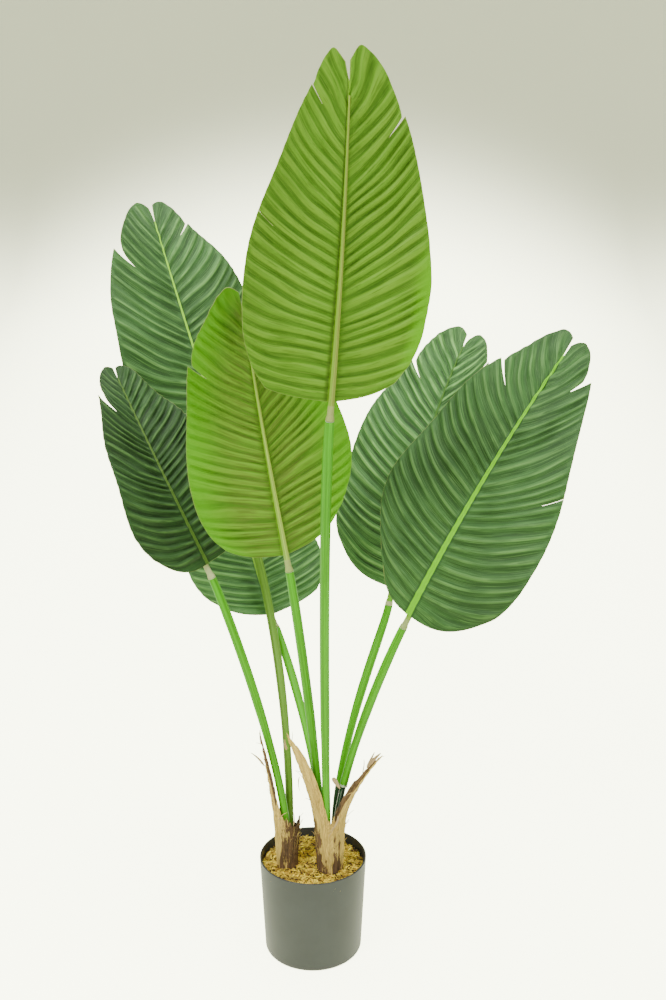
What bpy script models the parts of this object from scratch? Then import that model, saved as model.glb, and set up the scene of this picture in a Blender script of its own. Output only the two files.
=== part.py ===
"""A potted artificial banana plant: pleated leaves on tube stems, bark husks, moss and a dark pot.

Metres, +Z up. The origin is the middle of the pot's flat base. -Y is the side nearest the viewer.
"""
import math

import bmesh
import bpy
import numpy as np
from mathutils import Vector

# Pot, a plain tapered shell.
POT_HEIGHT = 0.165
POT_RIM_RADIUS = 0.085
POT_BASE_RADIUS = 0.0775
POT_WALL = 0.0026
POT_FLOOR = 0.0035
POT_EDGE = 0.007
POT_SIDES = 44

# Gap between neighbouring pieces, the same where two of them only meet end to end, and how far a rod
# lies below the fold of its blade.
GAP = 0.0003
END_GAP = 0.0005
RIB_DROP = 0.0010

# Where turned pieces keep a hard edge, in degrees.
SHARP_ANGLE = 35.0

# Fill and moss.
FILL_TOP = 0.138
FILL_RADIUS = 0.0730
HOLE_ROOM = 0.0005
MOSS_RADIUS = 0.0804
MOSS_TOP = 0.1525
MOSS_RELIEF = 0.0022

# Stems.
TUBE_RADIUS = 0.0062
TUBE_SWELL = 0.0009
SWELL_FROM = 0.37
SWELL_RUN = 0.06
CORE_RADIUS = 0.0047
TUBE_SIDES_STEP = 2
STEM_FOOT = 0.085
STEM_STRAIGHT = 0.150
COLLAR_LENGTH = 0.024

# Leaf mould, in shares of the leaf's axis from its base to the tops of its tip lobes. Each line is a
# share of the vein rows, and how far across and along the axis the margin lies there.
OUTLINE = (
    (0.000, 0.190, 0.055), (0.040, 0.222, 0.100), (0.107, 0.250, 0.174), (0.216, 0.264, 0.290),
    (0.348, 0.256, 0.427), (0.492, 0.229, 0.567), (0.646, 0.187, 0.708), (0.775, 0.145, 0.820),
    (0.873, 0.108, 0.902), (0.915, 0.089, 0.943), (0.950, 0.064, 0.978), (0.975, 0.038, 0.997),
    (1.000, 0.006, 0.962),
)
SHARE_STATIONS = (0.055, 0.25, 0.5, 0.75, 1.0)
WIDEST = 0.264
NOTCH = 0.910
NOTCH_HALF = 0.0016
RIB_END = 0.885
BLADE_THICKNESS = 0.0008
PLEAT_HEIGHT = 0.0014
VEIN_STEPS = 41
VEIN_COLUMNS = (0.0, 0.20, 0.46, 0.72, 1.0)
FOLD = 0.25
MARGIN_WAVE = 0.0050

# A slit: how far apart its two lips start, how far along the margin it pushes the blade aside, and how
# much of the lip above it is rounded off for each share that it gapes.
SLIT_HALF = 0.0030
SLIT_REACH = 0.12
SLIT_ROUNDING = 8.0
RIB_BASE_RADIUS = 0.0042
RIB_TIP_RADIUS = 0.0013

# Each leaf: base and tip of its axis, the way its upper side looks, how far it arches and sweeps,
# how wide each side is at five stations, how low its base lobes hang, how far its left and right tip
# lobes reach, how closed its notch is and how far that leans, and its slits, each with a side, a share
# of the vein rows, the place between rib and margin where it ends and how far it gapes.
LEAVES = {
    1: dict(base=(0.029, -0.200, 0.956), tip=(0.052, -0.270, 1.393), upper=(-0.17, 0.97, 0.16),
            bow=0.027, sweep=-0.013, left=(1.00, 0.99, 1.01, 1.05, 1.06),
            right=(1.01, 1.04, 1.03, 0.94, 0.81), low=(0.059, 0.029),
            tips=(0.000, 0.000, 0.0, 0.012),
            slits=((-1, 0.767, 0.75, 0.003), (1, 0.869, 0.76, 0.003), (1, 0.482, 0.82, 0.000)),
            wave=0.3),
    2: dict(base=(-0.037, -0.050, 0.692), tip=(-0.089, -0.156, 1.103), upper=(-0.34, 0.92, 0.19),
            bow=0.070, sweep=-0.010, left=(1.02, 1.09, 1.07, 1.02, 1.01),
            right=(1.01, 1.03, 1.01, 1.10, 1.03), low=(0.066, 0.059),
            tips=(0.000, 0.000, 0.3, 0.000),
            slits=((-1, 0.829, 0.70, 0.004), (1, 0.683, 0.74, 0.004)),
            wave=1.4),
    3: dict(base=(-0.131, 0.230, 0.739), tip=(-0.276, 0.421, 1.149), upper=(0.41, -0.76, 0.50),
            bow=0.110, sweep=-0.055, left=(1.01, 1.02, 1.06, 1.14, 1.02),
            right=(1.01, 1.03, 1.10, 1.14, 1.02), low=(0.056, 0.056),
            tips=(0.000, 0.000, 0.7, 0.000),
            slits=((-1, 0.739, 0.72, 0.009), (1, 0.877, 0.70, 0.003)),
            wave=2.6),
    4: dict(base=(-0.156, 0.000, 0.660), tip=(-0.311, 0.163, 0.929), upper=(0.47, -0.61, 0.64),
            bow=0.110, sweep=-0.073, left=(1.04, 0.99, 0.89, 0.88, 0.82),
            right=(1.01, 1.01, 1.04, 1.04, 0.88), low=(0.076, 0.007),
            tips=(-0.020, -0.030, 1.0, 0.000),
            slits=((-1, 0.753, 0.66, 0.010),),
            wave=3.9),
    5: dict(base=(-0.068, 0.170, 0.509), tip=(-0.147, 0.503, 0.716), upper=(0.06, -0.52, 0.85),
            bow=0.040, sweep=-0.040, left=(1.02, 1.08, 1.01, 1.01, 1.01),
            right=(1.12, 1.09, 1.04, 1.00, 1.00), low=(0.082, 0.055),
            tips=(0.000, 0.000, 0.5, 0.000),
            slits=((-1, 0.790, 0.70, 0.008), (1, 0.860, 0.72, 0.006)),
            wave=5.1),
    6: dict(base=(0.123, 0.090, 0.588), tip=(0.259, 0.304, 0.958), upper=(-0.32, -0.76, 0.56),
            bow=0.120, sweep=0.011, stalk=0.030, left=(1.02, 1.00, 1.03, 1.06, 1.02),
            right=(1.00, 0.99, 0.98, 0.91, 0.94), low=(0.083, 0.055),
            tips=(-0.005, -0.020, 0.4, 0.000),
            slits=((-1, 0.771, 0.66, 0.006), (1, 0.798, 0.80, 0.002)),
            wave=0.9),
    7: dict(base=(0.144, -0.030, 0.590), tip=(0.403, 0.132, 0.980), upper=(-0.34, -0.76, 0.55),
            bow=0.110, sweep=0.025, left=(0.72, 0.98, 1.01, 1.08, 1.00),
            right=(1.12, 1.07, 1.01, 0.96, 0.95), low=(0.080, 0.094),
            tips=(0.000, -0.030, 0.6, 0.000),
            slits=((-1, 0.777, 0.66, 0.004), (1, 0.820, 0.74, 0.008), (1, 0.427, 0.82, 0.000)),
            wave=4.4),
}

# Where each stem stands in the fill, how far it leans and rises before it turns, and how far it runs
# straight into its collar.
STEMS = {
    1: dict(foot=(0.0243, -0.0335), lean=(-0.009, -0.002), rise=0.38, reach=0.08),
    2: dict(foot=(0.0145, -0.0229), lean=(0.004, -0.004), rise=0.137, reach=0.047),
    3: dict(foot=(-0.0382, -0.0067), lean=(0.011, -0.012), rise=0.273, reach=0.186),
    4: dict(foot=(-0.0471, -0.0180), lean=(0.037, -0.011), rise=0.098, reach=0.04),
    5: dict(foot=(0.0233, -0.0094), lean=(-0.009, -0.027), rise=0.186, reach=0.087),
    6: dict(foot=(0.0367, -0.0133), lean=(-0.017, -0.0065), rise=0.19, reach=0.052),
    7: dict(foot=(0.0381, -0.0274), lean=(-0.025, 0.003), rise=0.127, reach=0.04),
}
CUT_TUBE = 7
CUT_HEIGHT = 0.301

# The two husk wraps: where they stand, how wide they are and where their tall peels rise.
WRAP_LEFT = (-0.0408, -0.0118)
WRAP_LEFT_RADIUS = 0.0178
WRAP_RIGHT = (0.0270, -0.0215)
WRAP_RIGHT_RADIUS = 0.0215
HUSK_THICKNESS = 0.0012
WRAP_ROOM = 0.0009


def clear():
    """Start from an empty scene."""
    for item in list(bpy.data.objects):
        bpy.data.objects.remove(item)


def collection(name, hidden=False):
    """A new collection in the scene."""
    made = bpy.data.collections.new(name)
    bpy.context.scene.collection.children.link(made)
    made.hide_render = hidden
    return made


def material(name, colour, roughness, metallic=0.0):
    """A Principled material of one colour."""
    made = bpy.data.materials.new(name)
    made.use_nodes = True
    shader = made.node_tree.nodes["Principled BSDF"]
    shader.inputs["Base Color"].default_value = (*colour, 1.0)
    shader.inputs["Roughness"].default_value = roughness
    shader.inputs["Metallic"].default_value = metallic
    made.diffuse_color = (*colour, 1.0)
    return made


def put(name, mesh, paint, home):
    """An object for a mesh, with its material."""
    made = bpy.data.objects.new(name, mesh)
    made.data.materials.append(paint)
    home.objects.link(made)
    return made


def from_bmesh(name, work, paint, home):
    """An object from a bmesh, which is freed."""
    bmesh.ops.recalc_face_normals(work, faces=work.faces)
    mesh = bpy.data.meshes.new(name)
    work.to_mesh(mesh)
    work.free()
    return put(name, mesh, paint, home)


def curve_value(stations, values, at):
    """A smooth line through named values."""
    stations = np.asarray(stations, float)
    values = np.asarray(values, float)
    at = np.clip(at, stations[0], stations[-1])
    k = np.clip(np.searchsorted(stations, at, side="right") - 1, 0, len(stations) - 2)
    slope = np.gradient(values, stations)
    step = stations[k + 1] - stations[k]
    t = (at - stations[k]) / step
    return (
        (2 * t**3 - 3 * t**2 + 1) * values[k] + (t**3 - 2 * t**2 + t) * step * slope[k]
        + (3 * t**2 - 2 * t**3) * values[k + 1] + (t**3 - t**2) * step * slope[k + 1]
    )


class Leaf:
    """The form of one leaf: its axis curve and where any place of the flat mould comes to lie."""

    def __init__(self, form):
        self.form = form
        self.stalk = form.get("stalk", COLLAR_LENGTH)
        self.base = np.array(form["base"])
        self.tip = np.array(form["tip"])
        chord = self.tip - self.base
        self.length = float(np.linalg.norm(chord))
        axis = chord / self.length
        upper = np.array(form["upper"])
        upper = upper - axis * (upper @ axis)
        self.upper = upper / np.linalg.norm(upper)
        side = np.cross(axis, self.upper)
        self.middle = (
            (self.base + self.tip) / 2
            + self.upper * form["bow"] * self.length * 2 + side * form["sweep"] * self.length * 2
        )

    def frame(self, along):
        """Place, direction, upper side and right side at a share of the axis."""
        v = np.asarray(along, float)[..., None]
        place = self.base * (1 - v)**2 + 2 * self.middle * v * (1 - v) + self.tip * v**2
        way = (self.middle - self.base) * (1 - v) + (self.tip - self.middle) * v
        way = way / np.linalg.norm(way, axis=-1, keepdims=True)
        up = self.upper - way * (way @ self.upper)[..., None]
        up = up / np.linalg.norm(up, axis=-1, keepdims=True)
        return place, way, up, np.cross(way, up)

    def vein(self, row, column, side):
        """Shares of the axis across and along on the uncut mould, for a vein row and a place on it."""
        hand = 0 if side < 0 else 1
        stations, widths, ends = zip(*OUTLINE)
        end = curve_value(stations, ends, row)
        width = curve_value(stations, widths, row)
        width = width * curve_value(SHARE_STATIONS, self.form[("left", "right")[hand]], end)
        closed, lean = self.form["tips"][2:]
        last = np.clip((row - 0.975) / 0.025, 0, 1)
        width = width * (1 - 0.8 * closed * last)
        end = end + 0.030 * closed * last
        end = end + self.form["tips"][hand] * np.clip((row - 0.78) / 0.19, 0, 1)**2
        end = end + (self.form["low"][hand] - OUTLINE[0][2]) * (1 - row)**4
        start = NOTCH * (row - 0.5 * row**2 * (1 - row))
        spring = 0.25 + 0.45 * np.minimum(1, row / 0.35)
        along = start + (end - start) * (spring * column + (1 - spring) * column**3.2)
        across = side * (width * column**(1 + 0.8 * row**8) + NOTCH_HALF * last * np.minimum(1, column / 0.18))
        return across + lean * np.clip((along - NOTCH) / (1 - NOTCH), 0, 1), along

    def flat(self, row, column, side):
        """The same on the cut mould, where the lips of each slit gape and the upper one is rounded."""
        slits = [slit for slit in self.form["slits"] if slit[0] == side]
        runs = []
        for _, at, inner, gape in slits:
            runs.append(np.clip((column - inner) / (1 - inner), 0, 1))
            rounding = SLIT_ROUNDING * gape * runs[-1] * np.exp(-np.maximum(0, row - at) / 0.025)
            column = column * np.where(row > at, 1 - rounding, 1)
        across, along = self.vein(row, column, side)
        ahead = self.vein(row, column + 0.01, side)
        way = np.stack([ahead[0] - across, ahead[1] - along])
        way = way / np.linalg.norm(way, axis=0)
        for (_, at, _, gape), run in zip(slits, runs):
            shift = gape * run**1.2 * np.clip(1 - np.abs(row - at) / SLIT_REACH, 0, 1)
            shift = side * np.where(row > at, shift, -shift)
            across = across - way[1] * shift
            along = along + way[0] * shift
        return across, along

    def place(self, across, along, lift=0.0):
        """The point of the bent blade over a place of the flat mould."""
        across = np.asarray(across, float)
        place, _, up, right = self.frame(along)
        q = np.abs(across) / WIDEST
        height = FOLD * WIDEST * (q - 0.62 * q**2 - 0.25 * q**3)
        return (
            place + right * (across * self.length)[..., None]
            + up * (height * self.length + lift)[..., None]
        )

    def stub(self):
        """Where the pale collar below the blade meets its stem, and the way it points."""
        place, way, up, _ = self.frame(0.0)
        return place - up * (RIB_BASE_RADIUS + BLADE_THICKNESS / 2 + GAP) - way * self.stalk, way


def vein_rows(slits):
    """The vein rows as a share, the way each is pleated and whether the lower lip of a slit lies there."""
    rows = []
    for step in range(VEIN_STEPS + 1):
        fold = 1 if step % 2 else -1
        here = [slit[1] for slit in slits if round(slit[1] * VEIN_STEPS) == step]
        if here:
            rows.append((here[0] - SLIT_HALF, fold, here[0]))
            rows.append((here[0] + SLIT_HALF, fold, None))
        else:
            rows.append((step / VEIN_STEPS, fold, None))
    return rows


def blade(number, paint, home):
    """A pleated blade: rows follow the veins, and slits run in from the margins."""
    leaf = Leaf(LEAVES[number])
    columns = len(VEIN_COLUMNS) - 1
    slits = leaf.form["slits"]
    rows = vein_rows(slits)
    work = bmesh.new()
    bmesh.ops.create_grid(work, x_segments=2 * columns, y_segments=len(rows) - 1, size=1.0)
    work.verts.ensure_lookup_table()
    width = 2 * columns + 1
    grid = {}
    for index, vert in enumerate(work.verts):
        grid[vert] = (index // width, index % width - columns)
    for vert, (row, column) in grid.items():
        side = -1 if column < 0 else 1
        u = VEIN_COLUMNS[abs(column)]
        s, fold, _ = rows[row]
        across, along = leaf.flat(s, u, side)
        pleat = PLEAT_HEIGHT * fold * abs(math.sin(math.pi * u**0.8))**0.6 * min(1.0, 12 * s)
        wave = MARGIN_WAVE * u**3 * math.sin(16.0 * s + leaf.form["wave"] + side)
        vert.co = Vector(leaf.place(across, along, pleat + wave))
    doomed = []
    for face in work.faces:
        cells = [grid[v] for v in face.verts]
        low = min(r for r, _ in cells)
        near = min(c for _, c in cells)
        side = -1 if near < 0 else 1
        inside = min(abs(c) for _, c in cells)
        for where, at, inner, _ in slits:
            if where == side and rows[low][2] == at and VEIN_COLUMNS[inside] > inner - 0.09:
                doomed.append(face)
    bmesh.ops.delete(work, geom=doomed, context="FACES")
    bmesh.ops.triangulate(work, faces=work.faces, quad_method="SHORT_EDGE")
    made = from_bmesh(f"leaf_{number}", work, paint, home)
    solid = made.modifiers.new("thickness", "SOLIDIFY")
    solid.thickness = BLADE_THICKNESS
    solid.offset = 0.0
    return made


def tube(name, points, radii, paint, home):
    """A round bar along points, with a radius at each."""
    line = bpy.data.curves.new(name, "CURVE")
    line.dimensions = "3D"
    line.bevel_depth = 1.0
    line.bevel_resolution = TUBE_SIDES_STEP
    line.use_fill_caps = True
    line.twist_mode = "MINIMUM"
    run = line.splines.new("POLY")
    run.points.add(len(points) - 1)
    for spot, point, radius in zip(run.points, points, radii):
        spot.co = (*point, 1.0)
        spot.radius = radius
    line.materials.append(paint)
    made = bpy.data.objects.new(name, line)
    home.objects.link(made)
    return made


def rib(number, paint, home):
    """The pale midrib under a blade, which ends in a collar on the stem."""
    leaf = Leaf(LEAVES[number])
    end, way = leaf.stub()
    points = [end, end + way * 0.004, end + way * 0.0045, end + way * (leaf.stalk - 0.002)]
    radii = [TUBE_RADIUS * 0.98, TUBE_RADIUS * 0.96, 0.0048, RIB_BASE_RADIUS]
    for share in np.linspace(0.03, RIB_END - 0.01, 9):
        place, _, up, _ = leaf.frame(share)
        radius = RIB_BASE_RADIUS + (RIB_TIP_RADIUS - RIB_BASE_RADIUS) * (share / RIB_END)**0.8
        points.append(place - up * (radius + RIB_DROP))
        radii.append(radius)
    return tube(f"rib_{number}", points, radii, paint, home)


def stem_line(number, count=13):
    """The centre line of a stem: upright in the fill, then in one easy bend to its collar."""
    form = STEMS[number]
    end, way = Leaf(LEAVES[number]).stub()
    end = end - way * END_GAP
    foot = np.array((*form["foot"], STEM_FOOT))
    start = np.array((*form["foot"], STEM_STRAIGHT))
    first = start + np.array((*form["lean"], form["rise"]))
    second = end - way * form["reach"]
    t = np.linspace(0.0, 1.0, count)[:, None]
    bend = (
        start * (1 - t)**3 + 3 * first * t * (1 - t)**2 + 3 * second * t**2 * (1 - t) + end * t**3
    )
    return np.vstack([foot, bend[:-1], end - way * 0.006, end])


def point_at_height(line, z):
    """The point of a rising line at a height."""
    return np.array([np.interp(z, line[:, 2], line[:, k]) for k in range(3)])


def tube_radii(line):
    """The radius of a tube at each point: it swells a little between the wraps and its collar."""
    above = np.clip((line[:, 2] - SWELL_FROM) / SWELL_RUN, 0, 1)
    below = np.clip((line[-1, 2] - line[:, 2]) / SWELL_RUN, 0, 1)
    return TUBE_RADIUS + TUBE_SWELL * above * below


def stems(paints, home):
    """The stems; one tube is cut off above the fill and shows its dark core."""
    made = []
    for number in STEMS:
        line = stem_line(number)
        if number == CUT_TUBE:
            fine = stem_line(number, 97)
            low = fine[fine[:, 2] < CUT_HEIGHT - 0.004]
            high = fine[fine[:, 2] > CUT_HEIGHT + 0.004]
            under = point_at_height(fine, CUT_HEIGHT - GAP)
            over = point_at_height(fine, CUT_HEIGHT + GAP)
            core = np.vstack([low[0], low[1::5], under])
            tube("core_7", core, [CORE_RADIUS] * len(core), paints["core"], home)
            line = np.vstack([over, high[3:-4:7], high[-2:]])
        made.append(tube(f"stem_{number}", line, tube_radii(line), paints["stem"], home))
    return made


def lathe(name, profile, sides, paint, home):
    """A turned body, shaded smooth, from a half section that starts and ends on the axis."""
    work = bmesh.new()
    verts = [work.verts.new((x, 0.0, z)) for x, z in profile]
    edges = [work.edges.new(pair) for pair in zip(verts, verts[1:])]
    bmesh.ops.spin(
        work, geom=verts + edges, cent=(0, 0, 0), axis=(0, 0, 1), angle=2 * math.pi, steps=sides, use_merge=True
    )
    bmesh.ops.remove_doubles(work, verts=work.verts, dist=0.00002)
    made = from_bmesh(name, work, paint, home)
    made.data.shade_smooth()
    made.data.set_sharp_from_angle(angle=math.radians(SHARP_ANGLE))
    return made


def pot(paint, home):
    """The plain round pot: tapered, thin at the rim and rounded at the foot."""
    taper = (POT_RIM_RADIUS - POT_BASE_RADIUS) / POT_HEIGHT
    inner_top = POT_RIM_RADIUS - POT_WALL
    inner_low = POT_BASE_RADIUS - POT_WALL
    profile = [(0.0, POT_FLOOR), (inner_low - 0.004, POT_FLOOR), (inner_low, POT_FLOOR + 0.004)]
    profile += [(inner_top - 0.0004, POT_HEIGHT - 0.0010), (inner_top + 0.0006, POT_HEIGHT)]
    profile += [(POT_RIM_RADIUS - 0.0008, POT_HEIGHT), (POT_RIM_RADIUS, POT_HEIGHT - 0.0010)]
    middle = POT_BASE_RADIUS - POT_EDGE + taper * POT_EDGE
    for step in range(4):
        angle = math.radians(90.0 * step / 3)
        x = middle + POT_EDGE * math.cos(angle)
        profile.append((x, POT_EDGE - POT_EDGE * math.sin(angle)))
    profile.append((0.0, 0.0))
    return lathe("pot", profile, POT_SIDES, paint, home)


def drum(name, middle, radius, low, high, sides, home):
    """A cylinder that is used as a cutter."""
    work = bmesh.new()
    bmesh.ops.create_cone(
        work, cap_ends=True, segments=sides, radius1=radius, radius2=radius, depth=high - low
    )
    bmesh.ops.translate(work, verts=work.verts, vec=(middle[0], middle[1], (low + high) / 2))
    mesh = bpy.data.meshes.new(name)
    work.to_mesh(mesh)
    work.free()
    made = bpy.data.objects.new(name, mesh)
    made.display_type = "WIRE"
    home.objects.link(made)
    return made


def cut(target, cutters):
    """Subtract a collection of cutters."""
    hole = target.modifiers.new("holes", "BOOLEAN")
    hole.operation = "DIFFERENCE"
    hole.operand_type = "COLLECTION"
    hole.collection = cutters
    hole.solver = "EXACT"


def fill(paint, home):
    """The heavy fill in the pot, with a plain hole for each stem."""
    low = POT_FLOOR + GAP
    profile = [(0.0, FILL_TOP), (FILL_RADIUS + 0.0058, FILL_TOP), (FILL_RADIUS, low + 0.005)]
    profile += [(FILL_RADIUS - 0.004, low), (0.0, low)]
    made = lathe("fill", profile, POT_SIDES, paint, home)
    holes = collection("fill_holes", hidden=True)
    for number, form in STEMS.items():
        radius = CORE_RADIUS if number == CUT_TUBE else TUBE_RADIUS
        low = STEM_FOOT - END_GAP
        drum(f"hole_{number}", form["foot"], radius + HOLE_ROOM, low, FILL_TOP + 0.02, 12, holes)
    cut(made, holes)
    return made


def moss_height(x, y):
    """The uneven top of the moss."""
    return MOSS_TOP + MOSS_RELIEF * (
        0.45 * math.sin(150 * x + 1.2) * math.cos(130 * y - 0.6)
        + 0.35 * math.sin(260 * x - 190 * y + 0.5)
        + 0.25 * math.cos(310 * y + 120 * x)
        - 1.6 * ((x * x + y * y) / MOSS_RADIUS**2)**4
    )


def moss(paint, home):
    """The moss on the fill, open where the two husk wraps stand."""
    cells = 10
    work = bmesh.new()
    bmesh.ops.create_grid(work, x_segments=cells, y_segments=cells, size=1.0)
    for vert in work.verts:
        a, b = vert.co.x, vert.co.y
        reach = MOSS_RADIUS
        x = a * math.sqrt(1 - b * b / 2) * reach
        y = b * math.sqrt(1 - a * a / 2) * reach
        vert.co = (x, y, moss_height(x, y))
    top = list(work.faces)
    rim = [e for e in work.edges if e.is_boundary]
    out = bmesh.ops.extrude_edge_only(work, edges=rim)
    fresh = [g for g in out["geom"] if isinstance(g, bmesh.types.BMVert)]
    for vert in fresh:
        flat = Vector((vert.co.x, vert.co.y, 0.0))
        flat = flat * ((MOSS_RADIUS - 0.0010) / MOSS_RADIUS)
        vert.co = (flat.x, flat.y, FILL_TOP + GAP)
    edges = [e for e in work.edges if e.is_boundary]
    bmesh.ops.holes_fill(work, edges=edges, sides=0)
    bmesh.ops.triangulate(work, faces=top)
    made = from_bmesh("moss", work, paint, home)
    holes = collection("moss_holes", hidden=True)
    for middle, radius in ((WRAP_LEFT, WRAP_LEFT_RADIUS), (WRAP_RIGHT, WRAP_RIGHT_RADIUS)):
        drum("hole_wrap", middle, radius + WRAP_ROOM, FILL_TOP - 0.01, MOSS_TOP + 0.05, 28, holes)
    cut(made, holes)
    return made


def sheet(name, across, along, place, paint, home):
    """A thin crumpled sheet: place gives a point for shares across and along."""
    work = bmesh.new()
    bmesh.ops.create_grid(work, x_segments=across, y_segments=along, size=1.0)
    for vert in work.verts:
        vert.co = place((vert.co.x + 1) / 2, (vert.co.y + 1) / 2)
    bmesh.ops.triangulate(work, faces=work.faces, quad_method="SHORT_EDGE")
    made = from_bmesh(name, work, paint, home)
    solid = made.modifiers.new("thickness", "SOLIDIFY")
    solid.thickness = HUSK_THICKNESS
    solid.offset = 0.0
    return made


def bump(angle, middle, width):
    """One smooth hill over an angle."""
    gap = (angle - middle + math.pi) % (2 * math.pi) - math.pi
    return math.exp(-(gap / width)**2)


def wrap(centre, radius, turn, rim, dips, peels):
    """The place function of a husk wrap: an open roll whose edge rises into leaning peels.

    Each dip is (angle, width, depth). Each peel is (angle, width, height, pinch, lean, bend), where lean
    is how far its top has moved and bend how much of that comes near the top.
    """
    start, end = turn
    low = FILL_TOP + END_GAP

    def place(a, v):
        angle = start + (end - start) * a
        top = rim + 0.005 * math.sin(3 * angle + 1.0) + 0.003 * math.sin(8 * angle)
        top -= sum(dip[2] * bump(angle, dip[0], dip[1]) for dip in dips)
        top += sum(peel[2] * bump(angle, peel[0], peel[1]) for peel in peels)
        z = low + (top - low) * v
        swell = radius + 0.0005 * math.sin(9 * angle + 60 * v * v) + 0.05 * max(0.0, z - low - 0.03)
        x = centre[0] + swell * math.cos(angle)
        y = centre[1] + swell * math.sin(angle)
        for middle, width, height, pinch, lean, bend in peels:
            hill = bump(angle, middle, width)
            share = max(0.0, z - rim + 0.012) / height
            draw = min(1.0, share**1.3) * pinch * hill
            x += (centre[0] + swell * math.cos(middle) - x) * draw + lean[0] * hill * share**bend
            y += (centre[1] + swell * math.sin(middle) - y) * draw + lean[1] * hill * share**bend
        return Vector((x, y, z))

    return place


def husks(paint, home):
    """The dry bark round each bunch of stems, with its torn peels."""
    left = wrap(
        WRAP_LEFT, WRAP_LEFT_RADIUS - HUSK_THICKNESS, (math.radians(-245), math.radians(60)), 0.243,
        [(math.radians(-20), 0.7, 0.012), (math.radians(50), 0.6, 0.020)],
        [(math.radians(-166), 0.52, 0.152, 0.35, (-0.0115, -0.008), 1.4)],
    )
    sheet("husk_left", 16, 7, left, paint, home)
    right = wrap(
        WRAP_RIGHT, WRAP_RIGHT_RADIUS - HUSK_THICKNESS, (math.radians(-210), math.radians(62)), 0.230,
        [(math.radians(-90), 0.4, 0.010), (math.radians(55), 0.6, 0.040)],
        [(math.radians(-42), 0.50, 0.134, 0.10, (0.051, 0.002), 1.8),
         (math.radians(-137), 0.54, 0.178, 0.24, (-0.038, -0.014), 1.4)],
    )
    sheet("husk_right", 24, 8, right, paint, home)


def build():
    """Make every piece."""
    clear()
    home = collection("potted_banana_plant")
    dark_green = material("leaf_upper", (0.045, 0.150, 0.040), 0.42)
    lime_green = material("leaf_under", (0.150, 0.330, 0.035), 0.48)
    paints = {
        "stem": material("stem_green", (0.160, 0.420, 0.060), 0.38),
        "core": material("core_green", (0.010, 0.045, 0.020), 0.22),
    }
    pale = material("rib_pale", (0.560, 0.640, 0.300), 0.50)
    bark = material("husk_tan", (0.330, 0.215, 0.110), 0.88)
    pot(material("pot_charcoal", (0.045, 0.047, 0.046), 0.45), home)
    fill(material("fill_grey", (0.140, 0.120, 0.100), 0.95), home)
    moss(material("moss_tan", (0.420, 0.300, 0.090), 0.95), home)
    for number in LEAVES:
        blade(number, lime_green if number in (1, 2) else dark_green, home)
        rib(number, pale, home)
    stems(paints, home)
    husks(bark, home)


build()
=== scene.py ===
"""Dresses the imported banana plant: fine blades, ribs, stems, bark, moss and pot, with their finishes."""

import math
import random

import bmesh
import bpy
import numpy as np
from bpy.props import FloatProperty, FloatVectorProperty, IntProperty, PointerProperty
from mathutils import Matrix, Vector, noise


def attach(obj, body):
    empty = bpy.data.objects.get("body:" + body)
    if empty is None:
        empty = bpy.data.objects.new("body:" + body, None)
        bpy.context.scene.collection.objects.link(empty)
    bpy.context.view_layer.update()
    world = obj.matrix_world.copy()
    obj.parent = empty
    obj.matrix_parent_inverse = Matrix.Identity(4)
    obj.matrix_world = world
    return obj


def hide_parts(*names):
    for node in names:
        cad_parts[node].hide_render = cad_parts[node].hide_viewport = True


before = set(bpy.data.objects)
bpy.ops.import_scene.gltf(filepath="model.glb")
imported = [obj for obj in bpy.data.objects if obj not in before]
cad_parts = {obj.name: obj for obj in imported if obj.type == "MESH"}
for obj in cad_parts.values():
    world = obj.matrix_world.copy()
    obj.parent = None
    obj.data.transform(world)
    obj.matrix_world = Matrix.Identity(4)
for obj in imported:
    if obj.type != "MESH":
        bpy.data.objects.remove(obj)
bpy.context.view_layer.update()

bl_info = {
    "name": "Potted Banana Plant",
    "version": (1, 0, 0),
    "blender": (4, 5, 0),
    "location": "View3D > Sidebar > Plant",
    "description": "Makes the finished pieces of an artificial banana plant in its pot",
    "category": "Add Mesh",
}

GAP = 0.0003
END_GAP = 0.0005
RIB_DROP = 0.0010
FILL_TOP = 0.138
MOSS_TOP = 0.1525

# Leaf mould, in shares of the leaf's axis from its base to the tops of its tip lobes. Each line is a
# share of the vein rows, and how far across and along the axis the margin lies there.
OUTLINE = (
    (0.000, 0.190, 0.055), (0.040, 0.222, 0.100), (0.107, 0.250, 0.174), (0.216, 0.264, 0.290),
    (0.348, 0.256, 0.427), (0.492, 0.229, 0.567), (0.646, 0.187, 0.708), (0.775, 0.145, 0.820),
    (0.873, 0.108, 0.902), (0.915, 0.089, 0.943), (0.950, 0.064, 0.978), (0.975, 0.038, 0.997),
    (1.000, 0.006, 0.962),
)
SHARE_STATIONS = (0.055, 0.25, 0.5, 0.75, 1.0)
WIDEST = 0.264
NOTCH = 0.910
NOTCH_HALF = 0.0016
RIB_END = 0.885
FOLD = 0.25
MARGIN_WAVE = 0.0050
COLLAR_LENGTH = 0.024

# A slit: how far apart its two lips start, how far along the margin it pushes the blade aside, and how
# much of the lip above it is rounded off for each share that it gapes.
SLIT_HALF = 0.0006
SLIT_REACH = 0.12
SLIT_ROUNDING = 8.0
RIB_BASE_RADIUS = 0.0042
RIB_TIP_RADIUS = 0.0013

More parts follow.
